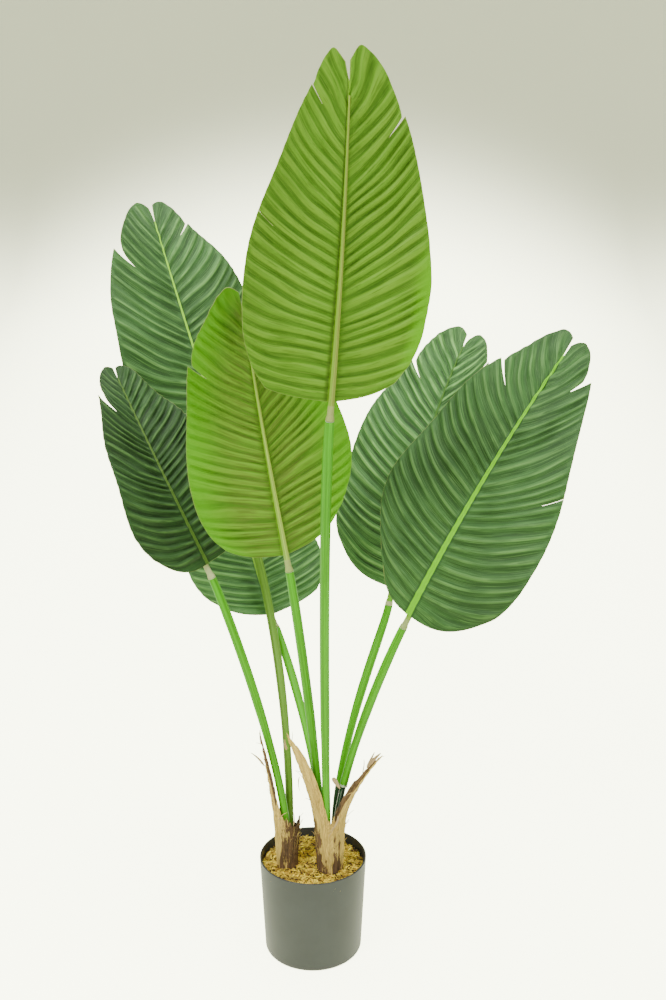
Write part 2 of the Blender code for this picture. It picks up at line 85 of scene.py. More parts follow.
# Each leaf: base and tip of its axis, the way its upper side looks, how far it arches and sweeps,
# how wide each side is at five stations, how low its base lobes hang, how far its left and right tip
# lobes reach, how closed its notch is and how far that leans, and its slits, each with a side, a share
# of the vein rows, the place between rib and margin where it ends and how far it gapes.
LEAVES = {
    1: dict(base=(0.029, -0.200, 0.956), tip=(0.052, -0.270, 1.393), upper=(-0.17, 0.97, 0.16),
            bow=0.027, sweep=-0.013, left=(1.00, 0.99, 1.01, 1.05, 1.06),
            right=(1.01, 1.04, 1.03, 0.94, 0.81), low=(0.059, 0.029),
            tips=(0.000, 0.000, 0.0, 0.012),
            slits=((-1, 0.767, 0.75, 0.003), (1, 0.869, 0.76, 0.001), (1, 0.482, 0.82, 0.000)),
            wave=0.3),
    2: dict(base=(-0.037, -0.050, 0.692), tip=(-0.089, -0.156, 1.103), upper=(-0.34, 0.92, 0.19),
            bow=0.070, sweep=-0.010, left=(1.02, 1.09, 1.07, 1.02, 1.01),
            right=(1.01, 1.03, 1.01, 1.10, 1.03), low=(0.066, 0.059),
            tips=(0.000, 0.000, 0.3, 0.000),
            slits=((-1, 0.829, 0.70, 0.004), (1, 0.683, 0.74, 0.004)),
            wave=1.4),
    3: dict(base=(-0.131, 0.230, 0.739), tip=(-0.276, 0.421, 1.149), upper=(0.41, -0.76, 0.50),
            bow=0.110, sweep=-0.055, left=(1.01, 1.02, 1.06, 1.14, 1.02),
            right=(1.01, 1.03, 1.10, 1.14, 1.02), low=(0.056, 0.056),
            tips=(0.000, 0.000, 0.7, 0.000),
            slits=((-1, 0.739, 0.72, 0.009), (1, 0.877, 0.70, 0.003)),
            wave=2.6),
    4: dict(base=(-0.156, 0.000, 0.660), tip=(-0.311, 0.163, 0.929), upper=(0.47, -0.61, 0.64),
            bow=0.110, sweep=-0.073, left=(1.04, 0.99, 0.89, 0.88, 0.82),
            right=(1.01, 1.01, 1.04, 1.04, 0.88), low=(0.076, 0.007),
            tips=(-0.020, -0.030, 1.0, 0.000),
            slits=((-1, 0.753, 0.66, 0.010),),
            wave=3.9),
    5: dict(base=(-0.068, 0.170, 0.509), tip=(-0.147, 0.503, 0.716), upper=(0.06, -0.52, 0.85),
            bow=0.040, sweep=-0.040, left=(1.02, 1.08, 1.01, 1.01, 1.01),
            right=(1.12, 1.09, 1.04, 1.00, 1.00), low=(0.082, 0.055),
            tips=(0.000, 0.000, 0.5, 0.000),
            slits=((-1, 0.790, 0.70, 0.008), (1, 0.860, 0.72, 0.006)),
            wave=5.1),
    6: dict(base=(0.123, 0.090, 0.588), tip=(0.259, 0.304, 0.958), upper=(-0.32, -0.76, 0.56),
            bow=0.120, sweep=0.011, stalk=0.030, left=(1.02, 1.00, 1.03, 1.06, 1.02),
            right=(1.00, 0.99, 0.98, 0.91, 0.94), low=(0.083, 0.055),
            tips=(-0.005, -0.020, 0.4, 0.000),
            slits=((-1, 0.771, 0.66, 0.006), (1, 0.798, 0.80, 0.002)),
            wave=0.9),
    7: dict(base=(0.144, -0.030, 0.590), tip=(0.403, 0.132, 0.980), upper=(-0.34, -0.76, 0.55),
            bow=0.110, sweep=0.025, left=(0.72, 0.98, 1.01, 1.08, 1.00),
            right=(1.12, 1.07, 1.01, 0.96, 0.95), low=(0.080, 0.094),
            tips=(0.000, -0.030, 0.6, 0.000),
            slits=((-1, 0.777, 0.66, 0.004), (1, 0.820, 0.74, 0.008), (1, 0.427, 0.82, 0.000)),
            wave=4.4),
}

# Where each stem stands in the fill, how far it leans and rises before it turns, and how far it runs
# straight into its collar.
STEMS = {
    1: dict(foot=(0.0243, -0.0335), lean=(-0.009, -0.002), rise=0.38, reach=0.08),
    2: dict(foot=(0.0145, -0.0229), lean=(0.004, -0.004), rise=0.137, reach=0.047),
    3: dict(foot=(-0.0382, -0.0067), lean=(0.011, -0.012), rise=0.273, reach=0.186),
    4: dict(foot=(-0.0471, -0.0180), lean=(0.037, -0.011), rise=0.098, reach=0.04),
    5: dict(foot=(0.0233, -0.0094), lean=(-0.009, -0.027), rise=0.186, reach=0.087),
    6: dict(foot=(0.0367, -0.0133), lean=(-0.017, -0.0065), rise=0.19, reach=0.052),
    7: dict(foot=(0.0381, -0.0274), lean=(-0.025, 0.003), rise=0.127, reach=0.04),
}
CUT_TUBE = 7
CUT_HEIGHT = 0.301

# The tube beside it that is dark and bare below this length from its foot.
BARE_TUBE = 6
BARE_RUN = 0.207
STEM_FOOT = 0.085
STEM_STRAIGHT = 0.150
TUBE_SWELL = 0.0009
SWELL_FROM = 0.37
SWELL_RUN = 0.06

# How light or dark each leaf is painted, which is partly its own print and partly painted light and shade for how much
# light falls on it, how strong the painted light and shade on its pleats is, how wide the band over its midrib is and
# its colour, and the colours of the rod below and of its taped collar, with the length of the tape.
LOOKS = {
    1: dict(tone_with_painted_light=1.00, clear=1.0, band=0.7, line=(0.200, 0.430, 0.020), rod=(0.230, 0.300, 0.045),
            collar=(0.330, 0.370, 0.120), tape=0.020),
    2: dict(tone_with_painted_light=1.04, clear=1.0, band=0.7, line=(0.210, 0.480, 0.020), rod=(0.340, 0.480, 0.070),
            collar=(0.360, 0.440, 0.130), tape=0.018),
    3: dict(tone_with_painted_light=1.05, clear=0.8, band=0.6, line=(0.280, 0.640, 0.030), rod=(0.300, 0.460, 0.080),
            collar=(0.400, 0.450, 0.160), tape=0.023),
    4: dict(tone_with_painted_light=0.56, clear=0.9, band=0.6, line=(0.080, 0.160, 0.025), rod=(0.300, 0.440, 0.080),
            collar=(0.520, 0.560, 0.270), tape=0.023),
    5: dict(tone_with_painted_light=1.50, clear=0.8, band=0.7, line=(0.220, 0.480, 0.030), rod=(0.300, 0.440, 0.080),
            collar=(0.400, 0.450, 0.160), tape=0.023),
    6: dict(tone_with_painted_light=1.45, clear=1.2, band=0.6, line=(0.080, 0.190, 0.030), rod=(0.130, 0.440, 0.015),
            collar=(0.520, 0.560, 0.270), tape=0.006),
    7: dict(tone_with_painted_light=1.02, clear=0.6, band=1.05, line=(0.180, 0.560, 0.008), rod=(0.280, 0.460, 0.060),
            collar=(0.360, 0.440, 0.160), tape=0.016),
}

# The margin strip of leaf 1 that curls over: its side, its first and last vein row and how far it bends.
CURL = (-1, 0.03, 0.36, 0.010)


class LeafSettings(bpy.types.PropertyGroup):
    """Sizes and colours of the blades and their ribs."""

    pleats: IntProperty(name="Pleats", description="Pleats along each side of a blade", default=25, min=8, max=40)
    pleat_height: FloatProperty(
        name="Pleat height", description="Half the height of a pleat", default=0.0016, unit="LENGTH"
    )
    thickness: FloatProperty(
        name="Thickness", description="Thickness of the printed fabric", default=0.0007, unit="LENGTH"
    )
    rib_radius: FloatProperty(
        name="Rib radius", description="Radius of the rib at the foot of the blade", default=0.0042, unit="LENGTH"
    )
    upper: FloatVectorProperty(
        name="Upper side", description="Print on the upper side", subtype="COLOR", default=(0.042, 0.114, 0.029)
    )
    under: FloatVectorProperty(
        name="Underside", description="Print on the underside", subtype="COLOR", default=(0.094, 0.242, 0.012)
    )
    # Crests: the colour of the painted highlights along the pleat crests of the upper side.
    crest: FloatVectorProperty(
        name="Crests", description="Light lines on the pleats", subtype="COLOR", default=(0.135, 0.300, 0.075)
    )
    margin: FloatVectorProperty(
        name="Margin", description="Cut edge of the fabric", subtype="COLOR", default=(0.360, 0.430, 0.130)
    )


class StemSettings(bpy.types.PropertyGroup):
    """Sizes and colours of the tube stems."""

    radius: FloatProperty(name="Radius", description="Radius of a tube", default=0.0062, unit="LENGTH")
    core_radius: FloatProperty(
        name="Core radius", description="Radius of the core in the cut tube", default=0.0047, unit="LENGTH"
    )
    green: FloatVectorProperty(
        name="Tube", description="Colour of the tubes", subtype="COLOR", default=(0.082, 0.390, 0.006)
    )
    core: FloatVectorProperty(
        name="Core", description="Colour of the dark core", subtype="COLOR", default=(0.010, 0.045, 0.020)
    )


class PotSettings(bpy.types.PropertyGroup):
    """Sizes and colours of the pot and what fills it."""

    height: FloatProperty(name="Height", description="Height of the pot", default=0.165, unit="LENGTH")
    rim_radius: FloatProperty(name="Rim radius", description="Outside radius at the rim", default=0.085, unit="LENGTH")
    base_radius: FloatProperty(
        name="Base radius", description="Outside radius at the foot", default=0.0775, unit="LENGTH"
    )
    wall: FloatProperty(name="Wall", description="Thickness of the wall", default=0.0026, unit="LENGTH")
    plastic: FloatVectorProperty(
        name="Plastic", description="Colour of the pot", subtype="COLOR", default=(0.028, 0.033, 0.035)
    )
    moss: FloatVectorProperty(
        name="Moss", description="Colour of the moss", subtype="COLOR", default=(1.000, 0.520, 0.055)
    )
    bark: FloatVectorProperty(
        name="Bark", description="Colour of the dry bark", subtype="COLOR", default=(0.820, 0.560, 0.160)
    )


class Value:
    """A shader socket for Python expressions; each operation adds its Math node."""

    def __init__(self, shader, socket):
        self.shader = shader
        self.socket = socket

    def math(self, operation, *others):
        values = dict(enumerate((self, *others)))
        return self.shader.node("ShaderNodeMath", {"operation": operation}, values)

    def __add__(self, other):
        return self.math("ADD", other)

    def __radd__(self, other):
        return self.math("ADD", other)

    def __sub__(self, other):
        return self.math("SUBTRACT", other)

    def __rsub__(self, other):
        return self.shader.node("ShaderNodeMath", {"operation": "SUBTRACT"}, {0: other, 1: self})

    def __mul__(self, other):
        return self.math("MULTIPLY", other)

    def __rmul__(self, other):
        return self.math("MULTIPLY", other)

    def __truediv__(self, other):
        return self.math("DIVIDE", other)

    def __pow__(self, other):
        return self.math("POWER", other)

    def ramp(self, low, high):
        """0 below low, 1 above high, smooth between."""
        settings = {"interpolation_type": "SMOOTHSTEP", "clamp": True}
        return self.shader.node("ShaderNodeMapRange", settings, {"Value": self, "From Min": low, "From Max": high})


class Shader:
    """The nodes of one material."""

    def __init__(self, name):
        self.material = bpy.data.materials.new(name)
        self.material.use_nodes = True
        self.tree = self.material.node_tree
        self.tree.nodes.clear()

    def node(self, kind, settings=None, values=None, out=0):
        """A node of a type, with its settings and the values or links of its sockets."""
        made = self.tree.nodes.new(kind)
        for name, value in (settings or {}).items():
            setattr(made, name, value)
        for name, value in (values or {}).items():
            if isinstance(value, Value):
                self.tree.links.new(value.socket, made.inputs[name])
            else:
                made.inputs[name].default_value = value
        return Value(self, made.outputs[out]) if len(made.outputs) else None

    def attribute(self, name):
        """The parts of a piece's own vector attribute."""
        whole = self.node("ShaderNodeAttribute", {"attribute_name": name}, out="Vector")
        return [self.node("ShaderNodeSeparateXYZ", values={0: whole}, out=k) for k in range(3)]

    def place(self):
        """Object coordinates."""
        return self.node("ShaderNodeTexCoord", out="Object")

    def vector(self, x, y, z):
        """A vector of three values."""
        return self.node("ShaderNodeCombineXYZ", values={0: x, 1: y, 2: z})

    def noise(self, at, scale, detail=2.0, roughness=0.5, distortion=0.0):
        """Smooth noise from about 0 to 1."""
        values = {
            "Vector": at, "Scale": scale, "Detail": detail, "Roughness": roughness, "Distortion": distortion,
        }
        return self.node("ShaderNodeTexNoise", values=values)

    def mix(self, first, second, factor, blend="MIX"):
        """Two colours mixed; a colour is three numbers or a link."""
        values = {0: factor}
        for key, colour in ((6, first), (7, second)):
            values[key] = colour if isinstance(colour, Value) else (*colour, 1.0)
        return self.node("ShaderNodeMix", {"data_type": "RGBA", "blend_type": blend}, values, out=2)

    def bump(self, height, distance, strength=1.0):
        """A normal that a height in shares of distance bends."""
        return self.node("ShaderNodeBump", values={"Height": height, "Distance": distance, "Strength": strength})

    def finish(self, colour, roughness, normal=None, **fixed):
        """The Principled shader and the output."""
        values = {"Roughness": roughness, **{k.replace("_", " "): v for k, v in fixed.items()}}
        values["Base Color"] = colour if isinstance(colour, Value) else (*colour, 1.0)
        if normal is not None:
            values["Normal"] = normal
        surface = self.node("ShaderNodeBsdfPrincipled", values=values)
        self.node("ShaderNodeOutputMaterial", values={"Surface": surface})
        return self.material


def scaled(colour, factor):
    """A colour made lighter or darker."""
    return tuple(min(1.0, c * factor) for c in colour)


def curve_value(stations, values, at):
    """A smooth line through named values."""
    stations = np.asarray(stations, float)
    values = np.asarray(values, float)
    at = np.clip(at, stations[0], stations[-1])
    k = np.clip(np.searchsorted(stations, at, side="right") - 1, 0, len(stations) - 2)
    slope = np.gradient(values, stations)
    step = stations[k + 1] - stations[k]
    t = (at - stations[k]) / step
    return (
        (2 * t**3 - 3 * t**2 + 1) * values[k] + (t**3 - 2 * t**2 + t) * step * slope[k]
        + (3 * t**2 - 2 * t**3) * values[k + 1] + (t**3 - t**2) * step * slope[k + 1]
    )


class Leaf:
    """The form of one leaf: its axis curve and where any place of the flat mould comes to lie."""

    def __init__(self, form):
        self.form = form
        self.stalk = form.get("stalk", COLLAR_LENGTH)
        self.base = np.array(form["base"])
        self.tip = np.array(form["tip"])
        chord = self.tip - self.base
        self.length = float(np.linalg.norm(chord))
        axis = chord / self.length
        upper = np.array(form["upper"])
        upper = upper - axis * (upper @ axis)
        self.upper = upper / np.linalg.norm(upper)
        side = np.cross(axis, self.upper)
        self.middle = (
            (self.base + self.tip) / 2
            + self.upper * form["bow"] * self.length * 2 + side * form["sweep"] * self.length * 2
        )

    def frame(self, along):
        """Place, direction, upper side and right side at a share of the axis."""
        v = np.asarray(along, float)[..., None]
        place = self.base * (1 - v)**2 + 2 * self.middle * v * (1 - v) + self.tip * v**2
        way = (self.middle - self.base) * (1 - v) + (self.tip - self.middle) * v
        way = way / np.linalg.norm(way, axis=-1, keepdims=True)
        up = self.upper - way * (way @ self.upper)[..., None]
        up = up / np.linalg.norm(up, axis=-1, keepdims=True)
        return place, way, up, np.cross(way, up)

    def vein(self, row, column, side):
        """Shares of the axis across and along on the uncut mould, for a vein row and a place on it."""
        hand = 0 if side < 0 else 1
        stations, widths, ends = zip(*OUTLINE)
        end = curve_value(stations, ends, row)
        width = curve_value(stations, widths, row)
        width = width * curve_value(SHARE_STATIONS, self.form[("left", "right")[hand]], end)
        closed, lean = self.form["tips"][2:]
        last = np.clip((row - 0.975) / 0.025, 0, 1)
        width = width * (1 - 0.8 * closed * last)
        end = end + 0.030 * closed * last
        end = end + self.form["tips"][hand] * np.clip((row - 0.78) / 0.19, 0, 1)**2
        end = end + (self.form["low"][hand] - OUTLINE[0][2]) * (1 - row)**4
        start = NOTCH * (row - 0.5 * row**2 * (1 - row))
        spring = 0.25 + 0.45 * np.minimum(1, row / 0.35)
        along = start + (end - start) * (spring * column + (1 - spring) * column**3.2)
        across = side * (width * column**(1 + 0.8 * row**8) + NOTCH_HALF * last * np.minimum(1, column / 0.18))
        return across + lean * np.clip((along - NOTCH) / (1 - NOTCH), 0, 1), along

    def flat(self, row, column, side):
        """The same on the cut mould, where the lips of each slit gape and the upper one is rounded."""
        slits = [slit for slit in self.form["slits"] if slit[0] == side]
        runs = []
        for _, at, inner, gape in slits:
            runs.append(np.clip((column - inner) / (1 - inner), 0, 1))
            rounding = SLIT_ROUNDING * gape * runs[-1] * np.exp(-np.maximum(0, row - at) / 0.025)
            column = column * np.where(row > at, 1 - rounding, 1)
        across, along = self.vein(row, column, side)
        ahead = self.vein(row, column + 0.01, side)
        way = np.stack([ahead[0] - across, ahead[1] - along])
        way = way / np.linalg.norm(way, axis=0)
        for (_, at, _, gape), run in zip(slits, runs):
            shift = gape * run**1.2 * np.clip(1 - np.abs(row - at) / SLIT_REACH, 0, 1)
            shift = side * np.where(row > at, shift, -shift)
            across = across - way[1] * shift
            along = along + way[0] * shift
        return across, along

    def place(self, across, along, lift):
        """The points of the bent blade over places of the flat mould."""
        place, _, up, right = self.frame(along)
        q = np.abs(across) / WIDEST
        height = FOLD * WIDEST * (q - 0.62 * q**2 - 0.25 * q**3)
        return (
            place + right * (across * self.length)[..., None]
            + up * (height * self.length + lift)[..., None]
        )

    def stub(self, rib_radius):
        """Where the pale collar below the blade meets its stem, and the way it points."""
        place, way, up, _ = self.frame(0.0)
        return place - up * (rib_radius + 0.0004 + GAP) - way * self.stalk, way


# Places between rib and margin where a blade has a line of points; the first ones follow the band.
BAND_STEPS = (0.0, 0.35, 0.7, 1.0, 1.4)
BLADE_COLUMNS = (
    0.11, 0.15, 0.20, 0.26, 0.33, 0.40, 0.47, 0.54, 0.60, 0.66, 0.72, 0.77, 0.82, 0.87, 0.91, 0.945, 0.975, 1.0,
)
ROWS_TO_A_PLEAT = 10
TURN = 2 * math.pi
EDGE_FAR = 0.02


def blade_rows(slits, pleats):
    """Shares of the vein rows, with a close pair of rows at each slit."""
    rows = set(np.round(np.linspace(0.0, 1.0, pleats * ROWS_TO_A_PLEAT + 1), 6))
    for at in {slit[1] for slit in slits}:
        rows = {r for r in rows if abs(r - at) > 3 * SLIT_HALF}
        rows |= {at - SLIT_HALF, at + SLIT_HALF}
    return np.array(sorted(rows))


def edge_distance(points, lines):
    """How far each point is from the nearest of some lines of points."""
    best = np.full(points.shape[:-1], EDGE_FAR)
    for line in lines:
        for start, end in zip(line[:-1], line[1:]):
            run = end - start
            share = np.clip((points - start) @ run / max(run @ run, 1e-12), 0, 1)
            best = np.minimum(best, np.linalg.norm(points - start - share[..., None] * run, axis=-1))
    return best


def rough(row, column, side, seed):
    """Smooth noise over a blade, for each of its points."""
    spots = zip(row.ravel(), column.ravel(), side.ravel())
    values = [noise.noise(Vector((2.3 * c * s + 5.0 * seed, 9.0 * r, 1.7 * s))) for r, c, s in spots]
    return np.array(values).reshape(row.shape)


def blade(number, settings, materials):
    """One fine blade: soft pleats, a raised band over the rib and open slits."""
    form = LEAVES[number]
    leaf = Leaf(form)
    rows = blade_rows(form["slits"], settings.pleats)
    half = len(BAND_STEPS) + len(BLADE_COLUMNS) - 1
    row = np.repeat(rows[:, None], 2 * half + 1, axis=1)
    index = np.repeat(np.arange(-half, half + 1)[None, :], len(rows), axis=0)
    side = np.where(index < 0, -1, 1)

    def both(part):
        left, right = part(-1), part(1)
        return tuple(np.where(side < 0, a, b) for a, b in zip(left, right))

    band = (0.0050 - 0.0036 * row**0.8) * LOOKS[number]["band"]
    width = np.maximum(0.002, np.abs(both(lambda hand: leaf.vein(row, 1.0, hand))[0]) * leaf.length)
    steps = np.array((*BAND_STEPS, *[0.0] * len(BLADE_COLUMNS)))[np.abs(index)]
    near = np.minimum(steps * band / width, 0.055 * steps)
    far = np.array((*[0.0] * len(BAND_STEPS), *BLADE_COLUMNS))[np.abs(index)]
    column = np.where(np.abs(index) < len(BAND_STEPS), near**(1 / (1 + 0.8 * row**8)), far)
    across, along = both(lambda hand: leaf.flat(row, column, hand))

    jitter = rough(row, column, side, number)
    phase = settings.pleats * row + 0.35 * jitter * column + 0.25 * (side > 0)
    phase = phase + 0.7 * rough(row, 0.3 * column, side, number + 4)
    crest = 2 * (0.5 + 0.5 * np.cos(2 * math.pi * phase))**1.4 - 1
    fade = np.clip(column / 0.09, 0, 1) * np.clip((1 - column) / 0.06, 0.35, 1)
    fade = fade * np.clip(row / 0.04, 0, 1) * np.clip((1 - row) / 0.05, 0, 1)
    uneven = np.clip(0.9 + 1.1 * rough(2 * row, 1.5 * column, side, number + 9), 0.2, 1.6)
    pleat = settings.pleat_height * crest * fade * uneven
    wave = MARGIN_WAVE * column**3 * np.sin(16.0 * row + form["wave"] + side)
    if number == 1:
        hand, first, last, bend = CURL
        place = np.clip(np.minimum(row - first, last - row) / 0.08, 0, 1)
        wave = wave - np.where(side == hand, bend * place * np.clip((column - 0.86) / 0.14, 0, 1)**1.5, 0)
    distance = np.abs(across) * leaf.length
    inside = np.clip(1.25 - distance / band, 0, 1)
    raised = 0.0013 * np.minimum(1, 2.2 * inside) - 0.0008 * np.exp(-(distance / (0.22 * band))**2)
    points = leaf.place(across, along, pleat + wave + raised * np.clip((1 - row) / 0.06, 0, 1))

    borders = [points[:, 0], points[:, -1], points[0], points[-1]]
    for hand, at, inner, _ in form["slits"]:
        lips = np.where(np.abs(np.abs(rows - at) - SLIT_HALF) < 1e-6)[0]
        reach = np.where((side[0] == hand) & (column[0] >= inner))[0]
        borders += [points[lip, reach] for lip in lips]
    edge = edge_distance(points, borders)

    work = bmesh.new()
    bmesh.ops.create_grid(work, x_segments=2 * half, y_segments=len(rows) - 1, size=1.0)
    mould = work.verts.layers.float_vector.new("mould")
    relief = work.verts.layers.float_vector.new("relief")
    wide = 2 * half + 1
    cell = {}
    for k, vert in enumerate(work.verts):
        r, c = divmod(k, wide)
        cell[vert] = (r, c)
        vert.co = points[r, c]
        vert[mould] = (column[r, c] * side[r, c], row[r, c], edge[r, c])
        vert[relief] = (crest[r, c] * fade[r, c], distance[r, c] / band[r, c], phase[r, c])
    doomed = []
    for face in work.faces:
        cells = [cell[v] for v in face.verts]
        r = min(c[0] for c in cells)
        c = min(c[1] for c in cells) - half
        hand = -1 if c < 0 else 1
        inner_column = column[0, half + (abs(c + 1) if c < 0 else c)]
        middle = (rows[r] + rows[r + 1]) / 2
        for where, at, inner, _ in form["slits"]:
            if where == hand and abs(middle - at) < SLIT_HALF and inner_column >= inner - 1e-6:
                doomed.append(face)
    bmesh.ops.delete(work, geom=doomed, context="FACES")
    bmesh.ops.recalc_face_normals(work, faces=work.faces)
    if sum((f.normal for f in work.faces), Vector()) @ Vector(leaf.upper) < 0:
        bmesh.ops.reverse_faces(work, faces=work.faces)
    for e in work.edges:
        e.smooth = not e.is_boundary
    made = piece(f"blade_{number}", work, materials)
    solid = made.modifiers.new("thickness", "SOLIDIFY")
    solid.thickness = settings.thickness
    solid.offset = 0.0
    solid.material_offset = 1
    solid.material_offset_rim = 2
    return made


def piece(name, work, materials, smooth=True):
    """A finished object from a bmesh, which is freed."""
    for face in work.faces:
        face.smooth = smooth
    mesh = bpy.data.meshes.new(name)
    work.to_mesh(mesh)
    work.free()
    for material in materials:
        mesh.materials.append(material)
    made = bpy.data.objects.new(name, mesh)
    bpy.context.scene.collection.objects.link(made)
    return made


def stand_for(made, node):
    """Attach a piece to the root body and hide the CAD node that it stands for."""
    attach(made, "root")
    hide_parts(node)
    return made


def blade_upper_material(number, settings):
    """Dark green print with fine veins and the band over the midrib, with painted highlights on the uneven crests and
    painted shade in the valleys, on one side of each pleat and beside the band.
    """
    s = Shader(f"blade_{number}_upper")
    across, row, edge = s.attribute("mould")
    crest, from_rib, phase = s.attribute("relief")
    # The leaf's tone scales its colours: partly its print, partly painted light and shade for how much light the leaf
    # gets.
    tone_with_painted_light = LOOKS[number]["tone_with_painted_light"]
    base = tuple(settings.upper)
    # light is the colour of the painted highlights on the crests; a lighter copy of it also draws the fine vein lines.
    light = scaled(tuple(settings.crest), tone_with_painted_light)
    blotch = s.noise(s.place(), 9.0, 3.0)
    streak = s.noise(s.vector(across * 3.0, phase * 7.0, number * 3.1), 1.0, 3.0)
    vein = s.noise(s.vector(across * 2.0, phase * 26.0, number * 1.7), 1.0, 2.0)
    uneven = s.noise(s.vector(across * 2.2, phase * 0.9, number * 5.3), 1.0, 2.0)
    colour = s.mix(scaled(base, 0.75 * tone_with_painted_light), scaled(base, 1.30 * tone_with_painted_light), blotch.ramp(0.3, 0.7))
    # clear scales the painted light and shade on the pleats.
    clear = LOOKS[number]["clear"]
    slope = (phase * TURN).math("SINE")
    # Painted shade in the valleys between the pleats.
    valley_shade = (1 - crest.ramp(-1.0, -0.45)) * (0.35 + 0.60 * uneven.ramp(0.35, 0.60)) * clear
    colour = s.mix(colour, scaled(base, 0.40 * tone_with_painted_light), valley_shade.math("MINIMUM", 0.95))
    # Painted highlight along the crest of each pleat.
    ridge_highlight = crest.ramp(0.25, 0.90) * (0.25 + 0.70 * uneven.ramp(0.40, 0.60)) * clear
    colour = s.mix(colour, light, ridge_highlight.math("MINIMUM", 0.95))
    # Painted shade on the side of each pleat that faces away from the light.
    colour = s.mix(colour, scaled(base, 0.45 * tone_with_painted_light), (1 - slope.ramp(-0.95, -0.35)) * 0.35)
    colour = s.mix(colour, scaled(base, 0.45 * tone_with_painted_light), streak.ramp(0.54, 0.64) * 0.45)
    colour = s.mix(colour, scaled(light, 1.2), vein.ramp(0.55, 0.62) * 0.30)
    colour = s.mix(colour, scaled(base, 0.40 * tone_with_painted_light), (1 - vein.ramp(0.38, 0.45)) * 0.35)
    # Painted shade along both sides of the raised band over the midrib.
    colour = s.mix(colour, scaled(base, 0.5 * tone_with_painted_light), (from_rib.ramp(0.95, 1.15) - from_rib.ramp(1.2, 2.2)) * 0.6)
    colour = s.mix(colour, LOOKS[number]["line"], 1 - from_rib.ramp(0.85, 1.10))
    colour = s.mix(colour, tuple(settings.margin), (1 - edge.ramp(0.0002, 0.0007)) * 0.45)
    normal = s.bump(vein * 0.6 + streak * 0.4, 0.0004, 0.8)
    return s.finish(colour, 0.44 + 0.16 * streak, normal, Specular_IOR_Level=0.14)


def blade_under_material(number, settings):
    """Yellow-green print with fine veins and a lime border along the rib, with painted light on the ridges and their
    upper sides, painted shade in the creases and on the lower sides of the ridges, painted shade beside the rib on
    leaves 1 and 2, and a painted lime highlight on the curled margin of leaf 1.
    """
    s = Shader(f"blade_{number}_under")
    across, row, edge = s.attribute("mould")
    crest, from_rib, phase = s.attribute("relief")
    # The leaf's tone scales its colours: partly its print, partly painted light and shade for how much light the leaf
    # gets.
    tone_with_painted_light = LOOKS[number]["tone_with_painted_light"]
    base = tuple(settings.under)
    blotch = s.noise(s.place(), 7.0, 3.0)
    streak = s.noise(s.vector(across * 3.0, phase * 7.0, number * 3.1), 1.0, 3.0)
    vein = s.noise(s.vector(across * 2.0, phase * 26.0, number * 1.7), 1.0, 2.0)
    uneven = s.noise(s.vector(across * 2.2, phase * 0.9, number * 5.3), 1.0, 2.0)
    colour = s.mix(scaled(base, 0.80 * tone_with_painted_light), scaled(base, 1.20 * tone_with_painted_light), blotch.ramp(0.3, 0.7))
    slope = (phase * TURN).math("SINE")
    # Painted light on the ridges that face out of the underside.
    ridge_highlight = (1 - crest.ramp(-1.0, -0.2)) * (0.2 + 0.5 * uneven.ramp(0.35, 0.65))
    colour = s.mix(colour, scaled((0.170, 0.340, 0.024), tone_with_painted_light), ridge_highlight)
    # Painted shade in the creases between the ridges.
    crease_shade = crest.ramp(0.05, 0.95) * (0.40 + 0.45 * uneven.ramp(0.40, 0.60))
    colour = s.mix(colour, scaled((0.040, 0.110, 0.008), tone_with_painted_light), crease_shade)
    # Painted shade on the lower side of each ridge.
    colour = s.mix(colour, scaled((0.050, 0.125, 0.008), tone_with_painted_light), slope.ramp(0.60, 0.97) * 0.62)
    # Painted light on the upper side of each ridge.
    colour = s.mix(colour, scaled((0.220, 0.420, 0.040), tone_with_painted_light), (1 - slope.ramp(-0.99, -0.80)) * 0.42)
    colour = s.mix(colour, scaled(base, 0.50 * tone_with_painted_light), streak.ramp(0.55, 0.64) * 0.50)
    colour = s.mix(colour, scaled((0.210, 0.380, 0.040), tone_with_painted_light), vein.ramp(0.55, 0.62) * 0.32)
    if number == 1:
        # Painted highlight: a bright lime band where the curled margin strip of leaf 1 catches the light.
        low = row.ramp(0.02, 0.10) * (1 - row.ramp(0.26, 0.44))
        colour = s.mix(colour, (0.130, 0.400, 0.003), (1 - across.ramp(-1.00, -0.78)) * low)
        shade = (from_rib.ramp(1.1, 1.6) - from_rib.ramp(2.2, 3.4)) * across.ramp(0.0, 0.002)
        colour = s.mix(colour, (0.060, 0.120, 0.012), shade * 0.65)
    if number == 2:
        # Painted shade in streaks on both sides of the rib of leaf 2.
        inner = 1 - (across * across).ramp(0.04, 0.50)
        colour = s.mix(colour, (0.120, 0.160, 0.030), inner * streak.ramp(0.42, 0.58) * 0.55)
        colour = s.mix(colour, (0.130, 0.480, 0.004), (across * across).ramp(0.20, 0.90) * 0.60)
    colour = s.mix(colour, LOOKS[number]["line"], (1 - from_rib.ramp(1.1, 1.7)) * 0.8)
    colour = s.mix(colour, tuple(settings.margin), (1 - edge.ramp(0.0002, 0.0007)) * 0.40)
    normal = s.bump(vein * 0.6 + streak * 0.4, 0.0004, 0.8)
    return s.finish(colour, 0.50 + 0.14 * streak, normal, Specular_IOR_Level=0.12)


def blade_edge_material(settings):
    """The pale cut edge of the fabric."""
    s = Shader("blade_edge")
    grain = s.noise(s.place(), 300.0)
    colour = s.mix(scaled(tuple(settings.margin), 0.6), scaled(tuple(settings.margin), 0.9), grain)
    return s.finish(colour, 0.7, Specular_IOR_Level=0.15)


